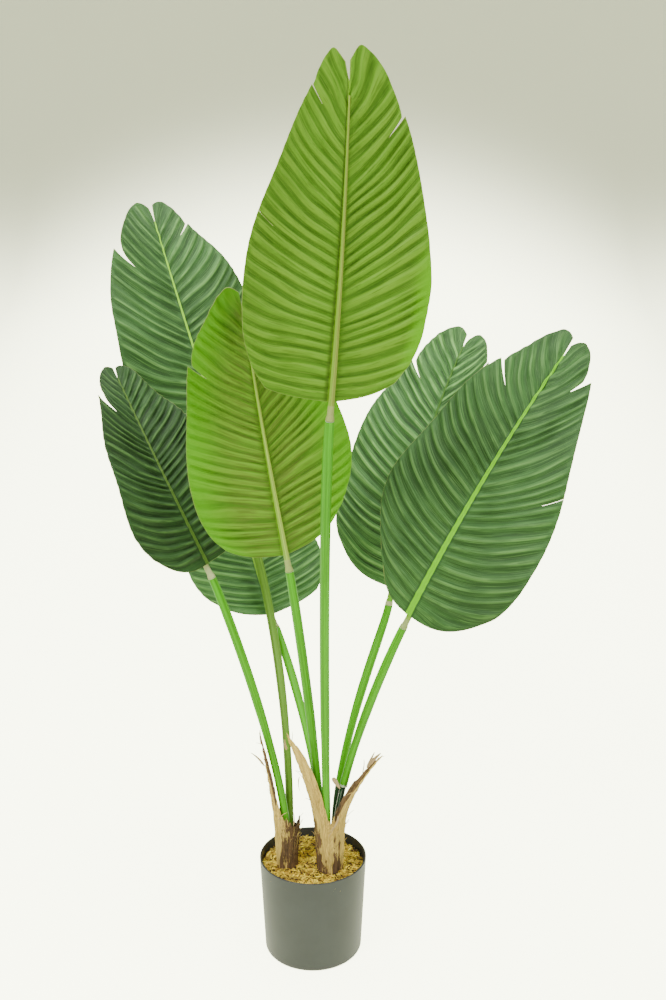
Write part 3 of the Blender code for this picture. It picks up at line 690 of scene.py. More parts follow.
def tube(work, points, radii, sides, tread=None):
    """Add a round bar along points, with a radius at each and rounded-off flat ends."""
    points = [Vector(p) for p in points]
    skin = work.verts.layers.float_vector.get("skin") or work.verts.layers.float_vector.new("skin")
    made = bmesh.ops.create_circle(work, segments=sides, radius=1.0)["verts"]
    for vert in made:
        angle = math.atan2(vert.co.y, vert.co.x)
        vert[skin] = (math.cos(angle), math.sin(angle), 0.0)
    ring = list(made)
    edges = list({e for v in ring for e in v.link_edges})
    first = list(edges)
    way = (points[1] - points[0]).normalized()
    normal = way.orthogonal().normalized()
    run = 0.0
    for k, (point, radius) in enumerate(zip(points, radii)):
        if k:
            run += (point - points[k - 1]).length
            geometry = bmesh.ops.extrude_edge_only(work, edges=edges)["geom"]
            ring = [g for g in geometry if isinstance(g, bmesh.types.BMVert)]
            fresh = set(ring)
            edges = [g for g in geometry if isinstance(g, bmesh.types.BMEdge) and set(g.verts) <= fresh]
            ahead = points[min(k + 1, len(points) - 1)] - points[k - 1]
            if ahead.length > 1e-9:
                way = ahead.normalized()
            normal = (normal - way * normal.dot(way)).normalized()
        across = way.cross(normal)
        for vert in ring:
            c, s, _ = vert[skin]
            reach = radius if tread is None else radius * tread(math.atan2(s, c), run)
            vert.co = point + (normal * c + across * s) * reach
            vert[skin] = (c, s, run)
    for loop in (first, edges):
        bmesh.ops.contextual_create(work, geom=loop)


def eased(points, radii, cut):
    """The same line with small steps at both ends, so that the ends look turned over."""
    points = [np.array(p, float) for p in points]
    first = points[1] - points[0]
    first = first / np.linalg.norm(first)
    last = points[-1] - points[-2]
    last = last / np.linalg.norm(last)
    line = [points[0], points[0] + first * cut, *points[1:-1], points[-1] - last * cut, points[-1]]
    return line, [radii[0] - cut, *radii, radii[-1] - cut]


def rib(number, settings, material):
    """The pale rod under a blade and the taped collar that it ends in."""
    leaf = Leaf(LEAVES[number])
    end, way = leaf.stub(settings.rib_radius)
    points = []
    radii = []
    for at in np.linspace(0.0, leaf.stalk - 0.002, 14):
        share = at / (leaf.stalk - 0.002)
        points.append(end + way * at)
        radii.append(0.0061 - 0.0013 * min(1.0, share * 3) ** 2 - 0.0006 * share)
    for share in np.linspace(0.015, RIB_END - 0.012, 44):
        place, _, up, _ = leaf.frame(share)
        radius = settings.rib_radius - 0.0029 * (share / RIB_END)**0.8
        points.append(place - up * (radius + RIB_DROP))
        radii.append(radius)
    line, sizes = eased(points, radii, 0.0004)
    work = bmesh.new()
    tube(work, line, sizes, 20)
    bmesh.ops.recalc_face_normals(work, faces=work.faces)
    return piece(f"midrib_{number}", work, [material])


def rib_material(number, settings):
    """Rod with lengthwise lines and green edges, and pale tape wound round the collar."""
    s = Shader(f"midrib_{number}_rod")
    c, side, run = s.attribute("skin")
    rod = LOOKS[number]["rod"]
    line = s.noise(s.vector(c * 2.4, side * 2.4, run * 5.0), 1.6, 3.0)
    colour = s.mix(scaled(rod, 0.75), scaled(rod, 1.3), line.ramp(0.3, 0.7))
    colour = s.mix(colour, LOOKS[1]["line"], (c * c).ramp(0.45, 0.95) * 0.7)
    collar = 1 - run.ramp(LOOKS[number]["tape"], LOOKS[number]["tape"] + 0.002)
    tape = s.noise(s.vector(c, side, run * 260.0), 1.0, 2.0)
    taped = s.mix(scaled(LOOKS[number]["collar"], 0.75), scaled(LOOKS[number]["collar"], 1.25), tape)
    colour = s.mix(colour, taped, collar)
    normal = s.bump(line * 0.5 + tape * collar, 0.0006, 0.6)
    return s.finish(colour, 0.50, normal, Specular_IOR_Level=0.2)


def stem_line(number, rib_radius, count=61):
    """The centre line of a stem: upright in the fill, then in one easy bend to its collar."""
    form = STEMS[number]
    end, way = Leaf(LEAVES[number]).stub(rib_radius)
    end = end - way * END_GAP
    foot = np.array((*form["foot"], STEM_FOOT))
    start = np.array((*form["foot"], STEM_STRAIGHT))
    first = start + np.array((*form["lean"], form["rise"]))
    second = end - way * form["reach"]
    t = np.linspace(0.0, 1.0, count)[:, None]
    bend = (
        start * (1 - t)**3 + 3 * first * t * (1 - t)**2 + 3 * second * t**2 * (1 - t) + end * t**3
    )
    return np.vstack([foot, bend])


def tube_radii(line, radius):
    """The radius of a tube at each point: it swells a little between the wraps and its collar."""
    above = np.clip((line[:, 2] - SWELL_FROM) / SWELL_RUN, 0, 1)
    below = np.clip((line[-1, 2] - line[:, 2]) / SWELL_RUN, 0, 1)
    return list(radius + TUBE_SWELL * above * below)


def stem(number, leaves, settings, materials):
    """One tube stem, slightly ridged; the cut one starts above the pot."""
    line = stem_line(number, leaves.rib_radius)
    if number == CUT_TUBE:
        fine = stem_line(number, leaves.rib_radius, 241)
        line = fine[fine[:, 2] > CUT_HEIGHT + 0.0003][::4]
        if not np.allclose(line[-1], fine[-1]):
            line = np.vstack([line, fine[-1]])
    strength = 0.035 if number == 3 else 0.012

    def tread(angle, run):
        return 1 - strength * (0.5 + 0.5 * math.cos(4 * angle + 0.6 * number + 1.5 * run)) ** 3

    points, radii = eased(line, tube_radii(line, settings.radius), 0.0004)
    work = bmesh.new()
    tube(work, points, radii, 28, tread)
    bmesh.ops.recalc_face_normals(work, faces=work.faces)
    for face in work.faces:
        if len(face.verts) > 4:
            face.material_index = 1
    return piece(f"tube_{number}", work, materials)


def core(leaves, settings, material):
    """The dark glossy core below the cut end of one tube."""
    fine = stem_line(CUT_TUBE, leaves.rib_radius, 241)
    line = fine[fine[:, 2] < CUT_HEIGHT - 0.0003][::3]
    points, radii = eased(line, [settings.core_radius] * len(line), 0.0004)
    work = bmesh.new()
    tube(work, points, radii, 24)
    bmesh.ops.recalc_face_normals(work, faces=work.faces)
    return piece("tube_core", work, [material])


def stem_material(number, settings):
    """Green tube with lengthwise streaks; the cut one has a whitish torn end."""
    s = Shader(f"tube_green_{number}")
    c, side, run = s.attribute("skin")
    green = (0.130, 0.280, 0.030) if number == 3 else tuple(settings.green)
    streak = s.noise(s.vector(c * 3.0, side * 3.0, run * 3.0 + number), 1.3, 3.0)
    blotch = s.noise(s.place(), 14.0, 2.0)
    colour = s.mix(scaled(green, 0.70), scaled(green, 1.25), streak.ramp(0.3, 0.7))
    colour = s.mix(colour, scaled(green, 0.6), blotch.ramp(0.55, 0.8) * 0.4)
    if number == CUT_TUBE:
        torn = s.noise(s.vector(c * 2.0, side * 2.0, 0.0), 1.5, 2.0)
        colour = s.mix(colour, (0.700, 0.780, 0.640), 1 - (run - torn * 0.006).ramp(0.0004, 0.0014))
    if number == BARE_TUBE:
        bare = s.mix((0.010, 0.030, 0.012), (0.040, 0.130, 0.040), streak.ramp(0.4, 0.7))
        colour = s.mix(colour, bare, 1 - run.ramp(BARE_RUN, BARE_RUN + 0.002))
    normal = s.bump(streak, 0.0005, 0.5)
    return s.finish(colour, 0.38 + 0.1 * streak, normal, Specular_IOR_Level=0.18)


def cut_material():
    """The whitish cut end of a tube."""
    s = Shader("tube_cut")
    grain = s.noise(s.place(), 500.0)
    colour = s.mix((0.50, 0.62, 0.45), (0.78, 0.84, 0.70), grain)
    return s.finish(colour, 0.5)


def core_material(settings):
    """Dark glossy green core."""
    s = Shader("core_gloss")
    c, side, run = s.attribute("skin")
    streak = s.noise(s.vector(c * 2.0, side * 2.0, run * 20.0), 1.5, 3.0)
    colour = s.mix(scaled(tuple(settings.core), 0.5), scaled(tuple(settings.core), 2.5), streak.ramp(0.35, 0.75))
    return s.finish(colour, 0.2, s.bump(streak, 0.0006, 0.7))


# Moss shreds are made in small heaps that are then joined.
SHRED_HEAPS = 60
SHREDS_IN_A_HEAP = 75

# The two bark wraps: where they stand, how wide they are, and their dips and tall peels, each peel with
# its angle, width, height, pinch, lean and bend.
WRAPS = {
    "left": dict(
        centre=(-0.0408, -0.0118), radius=0.0166, turn=(-245, 60), rim=0.243,
        dips=((-20, 0.7, 0.012), (50, 0.6, 0.020)), peels=((-166, 0.52, 0.152, 0.35, (-0.0115, -0.008), 1.4),),
    ),
    "right": dict(
        centre=(0.0270, -0.0215), radius=0.0203, turn=(-210, 62), rim=0.230,
        dips=((-90, 0.4, 0.010), (55, 0.6, 0.040)),
        peels=(
            (-42, 0.50, 0.134, 0.10, (0.051, 0.002), 1.8), (-137, 0.54, 0.178, 0.24, (-0.038, -0.014), 1.4),
        ),
    ),
}

# Loose strands of bark: start, middle, end and width. The ones wider than the flake width are pale flakes.
FLAKE_WIDTH = 0.007
STRANDS = {
    "left": (
        ((-0.0751, -0.0170, 0.3330), (-0.0820, -0.0180, 0.3470), (-0.0947, -0.0200, 0.3565), 0.0034),
        ((-0.0745, -0.0190, 0.3480), (-0.0720, -0.0195, 0.3570), (-0.0665, -0.0200, 0.3620), 0.0010),
        ((-0.0775, -0.0190, 0.3700), (-0.0810, -0.0195, 0.3840), (-0.0800, -0.0200, 0.3960), 0.0034),
        ((-0.0530, -0.0300, 0.2450), (-0.0480, -0.0310, 0.2560), (-0.0400, -0.0300, 0.2580), 0.0014),
        ((-0.0300, -0.0290, 0.2350), (-0.0270, -0.0300, 0.2480), (-0.0300, -0.0300, 0.2600), 0.0018),
    ),
    "right": (
        ((0.0400, -0.0500, 0.2640), (0.0400, -0.0520, 0.2480), (0.0258, -0.0520, 0.2380), 0.0030),
        ((0.0385, -0.0500, 0.2560), (0.0350, -0.0510, 0.2450), (0.0240, -0.0500, 0.2260), 0.0022),
        ((0.0320, -0.0440, 0.3270), (0.0370, -0.0450, 0.3180), (0.0428, -0.0440, 0.3080), 0.0080),
        ((0.0880, -0.0190, 0.3340), (0.0960, -0.0200, 0.3480), (0.1060, -0.0200, 0.3560), 0.0066),
        ((0.0850, -0.0190, 0.3300), (0.0900, -0.0200, 0.3440), (0.0960, -0.0210, 0.3580), 0.0048),
        ((0.0780, -0.0190, 0.3220), (0.0810, -0.0200, 0.3360), (0.0800, -0.0210, 0.3460), 0.0016),
        ((-0.0330, -0.0350, 0.3780), (-0.0290, -0.0360, 0.3900), (-0.0300, -0.0360, 0.4010), 0.0012),
        ((-0.0390, -0.0350, 0.3700), (-0.0420, -0.0360, 0.3780), (-0.0415, -0.0360, 0.3880), 0.0040),
        ((-0.0200, -0.0380, 0.3250), (-0.0230, -0.0390, 0.3120), (-0.0190, -0.0400, 0.3010), 0.0016),
    ),
}


def hill(angle, middle, width):
    """One smooth hill over an angle."""
    gap = (angle - middle + math.pi) % (2 * math.pi) - math.pi
    return math.exp(-(gap / width)**2)


def wrap_place(form, a, v, seed):
    """A point of a bark wrap, for shares round it and up it, its height and how far up its peel it is."""
    start, end = (math.radians(t) for t in form["turn"])
    angle = start + (end - start) * a
    low = FILL_TOP + GAP + 0.0002
    top = form["rim"] + 0.005 * math.sin(3 * angle + 1.0) + 0.003 * math.sin(8 * angle)
    top -= sum(d[2] * hill(angle, math.radians(d[0]), d[1]) for d in form["dips"])
    top += sum(p[2] * hill(angle, math.radians(p[0]), p[1]) for p in form["peels"])
    ragged = noise.noise(Vector((18 * angle, 0.0, seed))) + 0.8 * noise.noise(Vector((60 * angle, 3.0, seed)))
    top += 0.008 * ragged
    z = low + (top - low) * v
    radius = form["radius"]
    swell = radius + 0.0005 * math.sin(9 * angle + 60 * v * v) + 0.05 * max(0.0, z - low - 0.03)
    swell += 0.0008 * noise.noise(Vector((12 * angle, 60 * z, seed + 4)))
    swell += 0.0004 * noise.noise(Vector((40 * angle, 30 * z, seed + 9)))
    x = form["centre"][0] + swell * math.cos(angle)
    y = form["centre"][1] + swell * math.sin(angle)
    up = 0.0
    for middle, width, height, pinch, lean, bend in form["peels"]:
        middle = math.radians(middle)
        rise = hill(angle, middle, width)
        share = max(0.0, z - form["rim"] + 0.012) / height
        draw = min(1.0, share**1.3) * pinch * rise
        x += (form["centre"][0] + swell * math.cos(middle) - x) * draw + lean[0] * rise * share**bend
        y += (form["centre"][1] + swell * math.sin(middle) - y) * draw + lean[1] * rise * share**bend
        up = max(up, rise * min(1.0, share))
    return Vector((x, y, z)), angle, up


def strip(work, layer, cells, shape):
    """Add a thin strip: shape gives the point and the tag of a place across (-1 to 1) and along it."""
    made = bmesh.ops.create_grid(work, x_segments=1, y_segments=cells, size=1.0)["verts"]
    for vert in made:
        vert.co, vert[layer] = shape(vert.co.x, (vert.co.y + 1) / 2)
    return made


def strand(start, middle, end, width):
    """The shape of one loose strand that narrows to its end and turns over a little."""
    start, middle, end = Vector(start), Vector(middle), Vector(end)

    def shape(across, along):
        point = start * (1 - along)**2 + 2 * middle * along * (1 - along) + end * along**2
        way = (middle - start) * (1 - along) + (end - middle) * along
        aside = way.cross(Vector((0.35 - 0.7 * along, 1.0, 0.0))).normalized()
        reach = across * width / 2 * (1.0 - 0.85 * along**2) * min(1.0, 0.5 + 3 * along)
        return point + aside * reach, (0.4 * along, point.z, 1.0)

    return shape


def husk(side, materials):
    """One dry bark wrap with its torn peels, loose strands and fibres."""
    form = WRAPS[side]
    seed = 1.0 if side == "left" else 7.0
    rng = random.Random(int(seed))
    around, tall = (170, 90) if side == "left" else (210, 90)
    work = bmesh.new()
    bmesh.ops.create_grid(work, x_segments=around, y_segments=tall, size=1.0)
    fibre = work.verts.layers.float_vector.new("fibre")
    torn = work.verts.layers.float_vector.new("torn")
    for vert in work.verts:
        share = (vert.co.y + 1) / 2
        point, angle, up = wrap_place(form, (vert.co.x + 1) / 2, share, seed)
        vert.co = point
        vert[fibre] = (angle, point.z, up)
        vert[torn] = (share, 0.0, 0.0)
    bmesh.ops.recalc_face_normals(work, faces=work.faces)
    middle = Vector((*form["centre"], 0.2))
    if sum((f.calc_center_median() - middle) @ f.normal for f in work.faces) < 0:
        bmesh.ops.reverse_faces(work, faces=work.faces)
    for start, bend, end, width in STRANDS[side]:
        for vert in strip(work, fibre, 14, strand(start, bend, end, width)):
            vert[torn] = (0.0, float(width > FLAKE_WIDTH), 0.0)
    for _ in range(34):
        a = rng.uniform(0.02, 0.98)
        root, _, up = wrap_place(form, a, rng.uniform(0.55, 0.99), seed)
        out = (root - middle) * Vector((1, 1, 0))
        way = out.normalized() * rng.uniform(0.1, 0.5) + Vector((rng.uniform(-0.3, 0.3), 0, rng.uniform(0.5, 1.0)))
        reach = rng.uniform(0.005, 0.012)
        strip(work, fibre, 6, strand(root, root + way * reach, root + way * reach * 1.6 + out * 0.1, 0.0005))
    for e in work.edges:
        e.smooth = not e.is_boundary
    made = piece(f"bark_{side}", work, materials)
    solid = made.modifiers.new("thickness", "SOLIDIFY")
    solid.thickness = 0.0009
    solid.offset = 0.0
    solid.material_offset = 1
    return made


def husk_material(side, settings):
    """Dry tan bark with fibres, brown stains and dark torn patches."""
    s = Shader(f"bark_{side}")
    angle, height, up = s.attribute("fibre")
    seed = 1.0 if side == "left" else 7.0
    bark = tuple(settings.bark)
    fibres = s.noise(s.vector(angle * 16.0, height * 14.0, seed), 1.6, 4.0, 0.6)
    fine = s.noise(s.vector(angle * 45.0, height * 22.0, seed + 1), 1.6, 2.0)
    stain = s.noise(s.vector(angle * 2.2, height * 26.0, seed + 3), 1.5, 5.0, 0.65, 0.8)
    colour = s.mix(scaled(bark, 0.55), scaled(bark, 1.30), fibres.ramp(0.28, 0.72))
    colour = s.mix(colour, scaled(bark, 0.40), fine.ramp(0.56, 0.70) * 0.65)
    low = 1 - up.ramp(0.0, 0.35)
    share, pale, _ = s.attribute("torn")
    # Dark patches are biased towards the lower part of each wrap: on the left wrap round its front and right side, on
    # the right wrap along its bottom, on its side towards the left wrap and in a band on its front.
    if side == "left":
        dark = (angle - (height - 0.200) * 8.0).ramp(-2.35, -1.75) * low
        lip = angle.ramp(-2.95, -2.80) * up.ramp(0.04, 0.10) * share.ramp(0.72, 0.86)
    else:
        lip = angle.ramp(-1.50, -1.30) * (1 - angle.ramp(-0.90, -0.75)) * up.ramp(0.04, 0.10) * share.ramp(0.70, 0.88)
        dark = (1 - height.ramp(0.150, 0.200)) * 0.7 + (1 - angle.ramp(-2.5, -1.9)) * low * 0.9
        dark = dark + (angle.ramp(-1.45, -1.20) - angle.ramp(-0.85, -0.65)) * (1 - height.ramp(0.20, 0.25)) * 0.75
    patch = (stain + dark * 0.30 - 0.12).ramp(0.50, 0.64)
    dark_patch_colour = s.mix((0.026, 0.018, 0.022), (0.160, 0.082, 0.055), fibres.ramp(0.35, 0.65))
    colour = s.mix(colour, dark_patch_colour, patch * 0.92 * (1 - up * 0.6))
    colour = s.mix(colour, scaled(bark, 1.25), up.ramp(0.1, 0.6) * 0.30)
    colour = s.mix(colour, dark_patch_colour, (lip * (0.6 + stain)).ramp(0.45, 0.80) * 0.9)
    colour = s.mix(colour, (0.660, 0.700, 0.580), pale)
    normal = s.bump(fibres + 0.5 * fine + 0.4 * stain, 0.0016, 0.9)
    return s.finish(colour, 0.82, normal, Specular_IOR_Level=0.12)


def husk_inside_material():
    """The darker inner side of the bark."""
    s = Shader("bark_inside")
    angle, height, up = s.attribute("fibre")
    fibres = s.noise(s.vector(angle * 16.0, height * 14.0, 2.0), 1.6, 4.0, 0.6)
    colour = s.mix((0.050, 0.028, 0.022), (0.270, 0.160, 0.085), fibres.ramp(0.35, 0.75))
    colour = s.mix(colour, (0.520, 0.370, 0.200), up.ramp(0.90, 0.99))
    return s.finish(colour, 0.85, s.bump(fibres, 0.0014, 0.9), Specular_IOR_Level=0.2)


def moss_height(x, y):
    """The uneven top of the moss, heaped round the wraps and hollow between them."""
    rim = ((x * x + y * y) / 0.0804**2)**4
    heap = sum(
        math.exp(-((math.hypot(x - form["centre"][0], y - form["centre"][1]) - form["radius"]) / 0.008)**2)
        for form in WRAPS.values()
    )
    hollow = math.exp(-((x + 0.009) / 0.014)**2 - ((y - 0.022) / 0.016)**2)
    return MOSS_TOP + 0.0038 * min(1.0, heap) - 0.0090 * hollow + 0.0022 * (
        0.45 * math.sin(150 * x + 1.2) * math.cos(130 * y - 0.6)
        + 0.35 * math.sin(260 * x - 190 * y + 0.5) + 0.25 * math.cos(310 * y + 120 * x) - 1.6 * rim
    )


def in_wrap(x, y, room=0.0012):
    """Whether a place on the moss is inside one of the bark wraps."""
    return any(
        math.hypot(x - form["centre"][0], y - form["centre"][1]) < form["radius"] + room
        for form in WRAPS.values()
    )


def shred(where, length, rng):
    """The shape of one short curled shred of moss, widest in its middle."""
    curl, twist, wide = rng.uniform(-1.4, 1.4), rng.uniform(-1.2, 1.2), rng.uniform(0.05, 0.15)
    tint = rng.random()

    def shape(across, along):
        w = across * wide * (1.08 - (2 * along - 1)**2)
        bend = Vector((math.sin(curl * (along - 0.5)), along - 0.5, -0.5 * (along - 0.5)**2))
        lean = Vector((w * math.cos(twist * along), 0.0, w * math.sin(twist * along)))
        return where @ ((bend + lean) * length), (tint, 1.0, 0.0)

    return shape


def moss(settings, materials):
    """Shredded moss: a lumpy bed and a few thousand short curled shreds."""
    rng = random.Random(5)
    work = bmesh.new()
    shade = work.verts.layers.float_vector.new("shade")
    bmesh.ops.create_grid(work, x_segments=96, y_segments=96, size=1.0)
    reach = 0.0806
    for vert in work.verts:
        a, b = vert.co.x, vert.co.y
        x = a * math.sqrt(1 - b * b / 2) * reach
        y = b * math.sqrt(1 - a * a / 2) * reach
        lump = noise.noise(Vector((x * 260, y * 260, 2.0))) + 0.6 * noise.noise(Vector((x * 600, y * 600, 5.0)))
        vert.co = (x, y, moss_height(x, y) - 0.0022 + 0.0016 * lump)
        vert[shade] = (0.5 + 0.5 * lump, 0.0, 0.0)
    doomed = [v for v in work.verts if in_wrap(v.co.x, v.co.y, -0.001)]
    bmesh.ops.delete(work, geom=doomed, context="VERTS")
    for _ in range(SHRED_HEAPS):
        heap = bmesh.new()
        layer = heap.verts.layers.float_vector.new("shade")
        while len(heap.faces) < 4 * SHREDS_IN_A_HEAP:
            radius = 0.0795 * math.sqrt(rng.random())
            angle = rng.uniform(0, 2 * math.pi)
            x, y = radius * math.cos(angle), radius * math.sin(angle)
            if in_wrap(x, y):
                continue
            length = min(rng.uniform(0.004, 0.014), 2.2 * (0.0815 - radius) + 0.001)
            turn = Matrix.Rotation(rng.uniform(0, 2 * math.pi), 4, "Z")
            turn = turn @ Matrix.Rotation(rng.uniform(-0.5, 0.5), 4, "X")
            where = Matrix.Translation((x, y, moss_height(x, y) + rng.uniform(-0.0012, 0.0020))) @ turn
            strip(heap, layer, 4, shred(where, length, rng))
        mesh = bpy.data.meshes.new("heap")
        heap.to_mesh(mesh)
        heap.free()
        work.from_mesh(mesh)
        bpy.data.meshes.remove(mesh)
    made = piece("moss_shreds", work, materials)
    solid = made.modifiers.new("thickness", "SOLIDIFY")
    solid.thickness = 0.00025
    solid.offset = 0.0
    return made


def moss_material(settings):
    """Dried moss from straw yellow to dark brown flecks."""
    s = Shader("moss_straw")
    tint, shred, _ = s.attribute("shade")
    straw = tuple(settings.moss)
    grain = s.noise(s.place(), 420.0, 2.0)
    clump = s.noise(s.place(), 70.0, 2.0)
    light = (tint * 0.7 + grain * 0.4).ramp(0.1, 1.0)
    colour = s.mix(scaled(straw, 0.60), scaled(straw, 1.55), light)
    colour = s.mix(colour, (0.055, 0.030, 0.014), (1 - tint.ramp(0.14, 0.32)) * shred)
    colour = s.mix(colour, (0.110, 0.055, 0.022), clump.ramp(0.52, 0.66) * 0.65)
    colour = s.mix(colour, (0.070, 0.042, 0.014), (1 - shred) * 0.75)
    return s.finish(colour, 0.9, Specular_IOR_Level=0.2)


def pot(settings, material):
    """The smooth round pot: tapered, thin and rolled at the rim, rounded at the foot."""
    taper = (settings.rim_radius - settings.base_radius) / settings.height
    inner_top = settings.rim_radius - settings.wall
    inner_low = settings.base_radius - settings.wall
    floor = 0.0035
    foot = 0.007
    profile = [(0.0, floor), (inner_low - 0.004, floor), (inner_low, floor + 0.004)]
    middle_rim = (settings.rim_radius + inner_top) / 2
    for step in range(9):
        angle = math.pi * step / 8
        profile.append((middle_rim - settings.wall / 2 * math.cos(angle),
                        settings.height - settings.wall / 2 + settings.wall / 2 * math.sin(angle)))
    middle = settings.base_radius - foot + taper * foot
    for step in range(9):
        angle = math.pi / 2 * step / 8
        profile.append((middle + foot * math.cos(angle), foot - foot * math.sin(angle)))
    profile.append((0.0, 0.0))
    work = bmesh.new()
    verts = [work.verts.new((x, 0.0, z)) for x, z in profile]
    edges = [work.edges.new(pair) for pair in zip(verts, verts[1:])]
    bmesh.ops.spin(
        work, geom=verts + edges, cent=(0, 0, 0), axis=(0, 0, 1), angle=2 * math.pi, steps=160, use_merge=True
    )
    bmesh.ops.remove_doubles(work, verts=work.verts, dist=0.00002)
    bmesh.ops.recalc_face_normals(work, faces=work.faces)
    made = piece("pot_shell", work, [material])
    made.data.set_sharp_from_angle(angle=math.radians(40))
    return made


def pot_material(settings):
    """Satin dark plastic with a faint moulded grain."""
    s = Shader("pot_plastic")
    grain = s.noise(s.place(), 900.0, 2.0)
    cloud = s.noise(s.place(), 18.0, 3.0)
    plastic = tuple(settings.plastic)
    colour = s.mix(scaled(plastic, 0.9), scaled(plastic, 1.12), cloud.ramp(0.35, 0.65))
    return s.finish(colour, 0.38 + 0.08 * cloud, s.bump(grain, 0.00008, 0.5), Specular_IOR_Level=0.5)


def fill_material():
    """Cast grey filler, which the moss hides."""
    s = Shader("fill_cast")
    grain = s.noise(s.place(), 350.0, 4.0)
    colour = s.mix((0.040, 0.030, 0.022), (0.120, 0.095, 0.070), grain)
    return s.finish(colour, 0.95, s.bump(grain, 0.001, 0.8))


# Camera, worked out from the ellipses of the pot's rim and base.
CAMERA_PLACE = (0.032, -1.948, 1.377)
CAMERA_DOWN = 17.57
CAMERA_LENS = 50.0


# The round paper stage: its flat floor, the bend up to its wall and the top of that.
STAGE_FLOOR = 5.5
STAGE_BEND = 1.5
STAGE_TOP = 6.0


def stage_material():
    """Plain pale paper that glows near white for camera rays and more weakly in reflections; painted shade darkens the
    glow towards the top and the sides.
    """
    s = Shader("stage_paper")
    cloud = s.noise(s.place(), 0.6, 2.0)
    parts = [s.node("ShaderNodeSeparateXYZ", values={0: s.place()}, out=k) for k in range(3)]
    # Painted shade: the glow falls off towards the top of the wall and towards its sides.
    aside = (parts[0] * parts[0] * 0.160).math("MINIMUM", 0.50)
    high = (parts[2] + aside).ramp(0.06, 1.75)
    glow_with_painted_shade = 0.045 + 0.86 * (1 - high)**3.2
    rays = [s.node("ShaderNodeLightPath", out=name) for name in ("Is Camera Ray", "Is Glossy Ray")]
    glow = s.mix((0.0, 0.0, 0.0), (0.960, 1.0, 0.700), glow_with_painted_shade * (rays[0] + rays[1] * 0.30))
    paper = s.mix((0.76, 0.79, 0.580), (0.79, 0.82, 0.610), cloud)
    return s.finish(paper, 0.9, Specular_IOR_Level=0.1, Emission_Color=glow, Emission_Strength=8.0)


def sweep():
    """The paper stage: a flat floor, one wide bend and a round wall."""
    profile = [(0.0, 0.0), (STAGE_FLOOR, 0.0)]
    for step in range(1, 25):
        angle = math.pi / 2 * step / 24
        profile.append((STAGE_FLOOR + STAGE_BEND * math.sin(angle), STAGE_BEND * (1 - math.cos(angle))))
    profile.append((STAGE_FLOOR + STAGE_BEND, STAGE_TOP))
    work = bmesh.new()
    verts = [work.verts.new((x, 0.0, z)) for x, z in profile]
    edges = [work.edges.new(pair) for pair in zip(verts, verts[1:])]
    bmesh.ops.spin(
        work, geom=verts + edges, cent=(0, 0, 0), axis=(0, 0, 1), angle=2 * math.pi, steps=96, use_merge=True
    )
    bmesh.ops.remove_doubles(work, verts=work.verts, dist=0.0001)
    bmesh.ops.recalc_face_normals(work, faces=work.faces)
    return piece("paper_stage", work, [stage_material()])


def area_light(name, place, target, size, power, colour):
    """A soft square light that faces a point."""
    lamp = bpy.data.lights.new(name, "AREA")
    lamp.shape = "RECTANGLE"
    lamp.size, lamp.size_y = size
    lamp.energy = power
    lamp.color = colour
    made = bpy.data.objects.new(name, lamp)
    made.location = place
    way = Vector(target) - Vector(place)
    made.rotation_euler = way.to_track_quat("-Z", "Y").to_euler()
    bpy.context.scene.collection.objects.link(made)
    return made


class PLANT_OT_blades(bpy.types.Operator):
    """Make the seven fine blades"""

    bl_idname = "plant.blades"
    bl_label = "Blades"

    def execute(self, context):
        settings = context.scene.plant_leaves
        edge = blade_edge_material(settings)
        for number in LEAVES:
            materials = [blade_upper_material(number, settings), blade_under_material(number, settings), edge]
            made = blade(number, settings, materials)
            stand_for(made, f"leaf_{number}")
        return {"FINISHED"}


class PLANT_OT_ribs(bpy.types.Operator):
    """Make the ribs under the blades, with their collars"""

    bl_idname = "plant.ribs"
    bl_label = "Ribs and collars"

    def execute(self, context):
        settings = context.scene.plant_leaves
        for number in LEAVES:
            stand_for(rib(number, settings, rib_material(number, settings)), f"rib_{number}")
        return {"FINISHED"}


class PLANT_OT_stems(bpy.types.Operator):
    """Make the tube stems and the core of the cut one"""

    bl_idname = "plant.stems"
    bl_label = "Stems"

    def execute(self, context):
        leaves = context.scene.plant_leaves
        settings = context.scene.plant_stems
        cut = cut_material()
        for number in STEMS:
            made = stem(number, leaves, settings, [stem_material(number, settings), cut])
            stand_for(made, f"stem_{number}")
        stand_for(core(leaves, settings, core_material(settings)), "core_7")
        return {"FINISHED"}


class PLANT_OT_bark(bpy.types.Operator):
    """Make the dry bark wraps with their peels"""

    bl_idname = "plant.bark"
    bl_label = "Bark"

    def execute(self, context):
        inside = husk_inside_material()
        for side in WRAPS:
            made = husk(side, [husk_material(side, context.scene.plant_pot), inside])
            stand_for(made, f"husk_{side}")
        return {"FINISHED"}


class PLANT_OT_moss(bpy.types.Operator):
    """Make the shredded moss"""

    bl_idname = "plant.moss"
    bl_label = "Moss"

    def execute(self, context):
        settings = context.scene.plant_pot
        stand_for(moss(settings, [moss_material(settings)]), "moss")
        return {"FINISHED"}


class PLANT_OT_pot(bpy.types.Operator):
    """Make the pot and finish the fill in it"""

    bl_idname = "plant.pot"
    bl_label = "Pot"

    def execute(self, context):
        settings = context.scene.plant_pot
        stand_for(pot(settings, pot_material(settings)), "pot")
        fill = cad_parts["fill"]
        fill.data.materials.clear()
        fill.data.materials.append(fill_material())
        return {"FINISHED"}


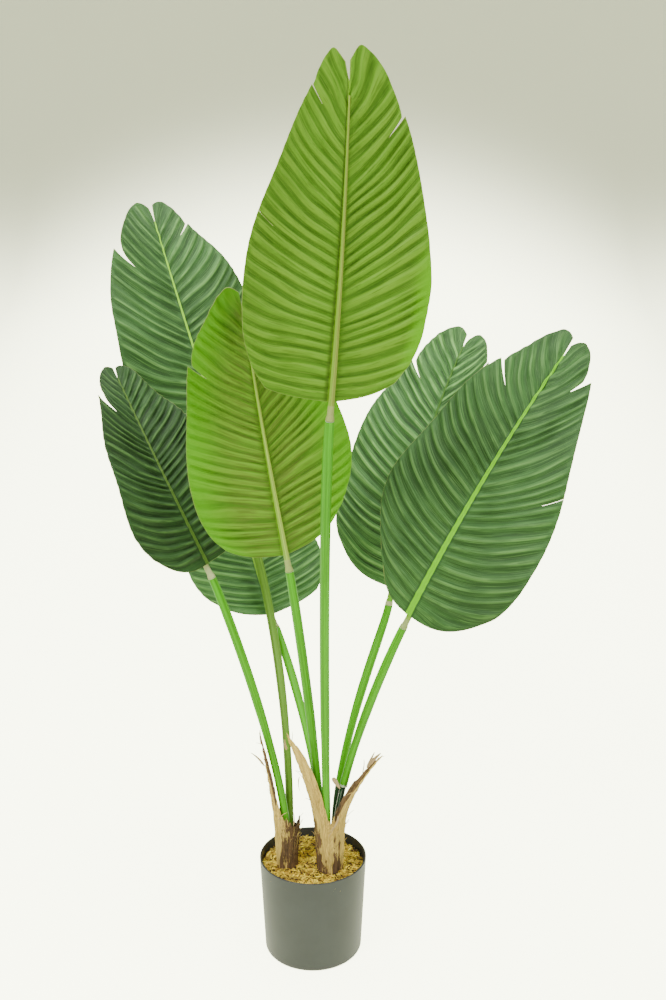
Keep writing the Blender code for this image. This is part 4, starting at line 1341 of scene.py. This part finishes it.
class PLANT_OT_stage(bpy.types.Operator):
    """Make the paper sweep, the lights and the camera"""

    bl_idname = "plant.stage"
    bl_label = "Stage"

    def execute(self, context):
        sweep()
        world = bpy.data.worlds.new("studio")
        world.use_nodes = True
        world.node_tree.nodes["Background"].inputs["Color"].default_value = (1.0, 1.0, 0.98, 1.0)
        world.node_tree.nodes["Background"].inputs["Strength"].default_value = 0.62
        context.scene.world = world
        area_light("key", (-1.6, -2.2, 3.4), (0.0, 0.0, 0.8), (1.8, 1.8), 155.0, (1.0, 0.99, 0.96))
        area_light("fill", (2.4, -1.6, 2.2), (0.0, 0.0, 0.7), (2.4, 2.4), 45.0, (1.0, 1.0, 1.0))
        area_light("top", (0.0, 0.6, 3.8), (0.0, 0.3, 0.6), (2.6, 2.0), 110.0, (1.0, 1.0, 0.98))
        lens = bpy.data.cameras.new("camera")
        lens.lens = CAMERA_LENS
        lens.sensor_width = 36.0
        lens.clip_start = 0.05
        lens.clip_end = 40.0
        camera = bpy.data.objects.new("camera", lens)
        camera.location = CAMERA_PLACE
        camera.rotation_euler = (math.radians(90.0 - CAMERA_DOWN), 0.0, 0.0)
        context.scene.collection.objects.link(camera)
        context.scene.camera = camera
        return {"FINISHED"}


class PLANT_PT_panel(bpy.types.Panel):
    """The plant's settings and steps."""

    bl_label = "Potted Banana Plant"
    bl_idname = "PLANT_PT_panel"
    bl_space_type = "VIEW_3D"
    bl_region_type = "UI"
    bl_category = "Plant"

    def draw(self, context):
        for group in (context.scene.plant_leaves, context.scene.plant_stems, context.scene.plant_pot):
            box = self.layout.box()
            for name in group.__annotations__:
                box.prop(group, name)
        for step in STEPS:
            self.layout.operator(step.bl_idname)


SETTINGS = {"plant_leaves": LeafSettings, "plant_stems": StemSettings, "plant_pot": PotSettings}
STEPS = (
    PLANT_OT_stage, PLANT_OT_pot, PLANT_OT_moss, PLANT_OT_bark, PLANT_OT_stems, PLANT_OT_ribs, PLANT_OT_blades,
)


def register():
    """Register the classes and the settings."""
    for name, group in SETTINGS.items():
        bpy.utils.register_class(group)
        setattr(bpy.types.Scene, name, PointerProperty(type=group))
    for step in (*STEPS, PLANT_PT_panel):
        bpy.utils.register_class(step)


def unregister():
    """Take the classes and the settings out again."""
    for step in reversed((*STEPS, PLANT_PT_panel)):
        bpy.utils.unregister_class(step)
    for name, group in SETTINGS.items():
        delattr(bpy.types.Scene, name)
        bpy.utils.unregister_class(group)


def main():
    """Make every piece in order."""
    register()
    bpy.ops.plant.stage()
    bpy.ops.plant.pot()
    bpy.ops.plant.moss()
    bpy.ops.plant.bark()
    bpy.ops.plant.stems()
    bpy.ops.plant.ribs()
    bpy.ops.plant.blades()


if __name__ == "__main__":
    main()
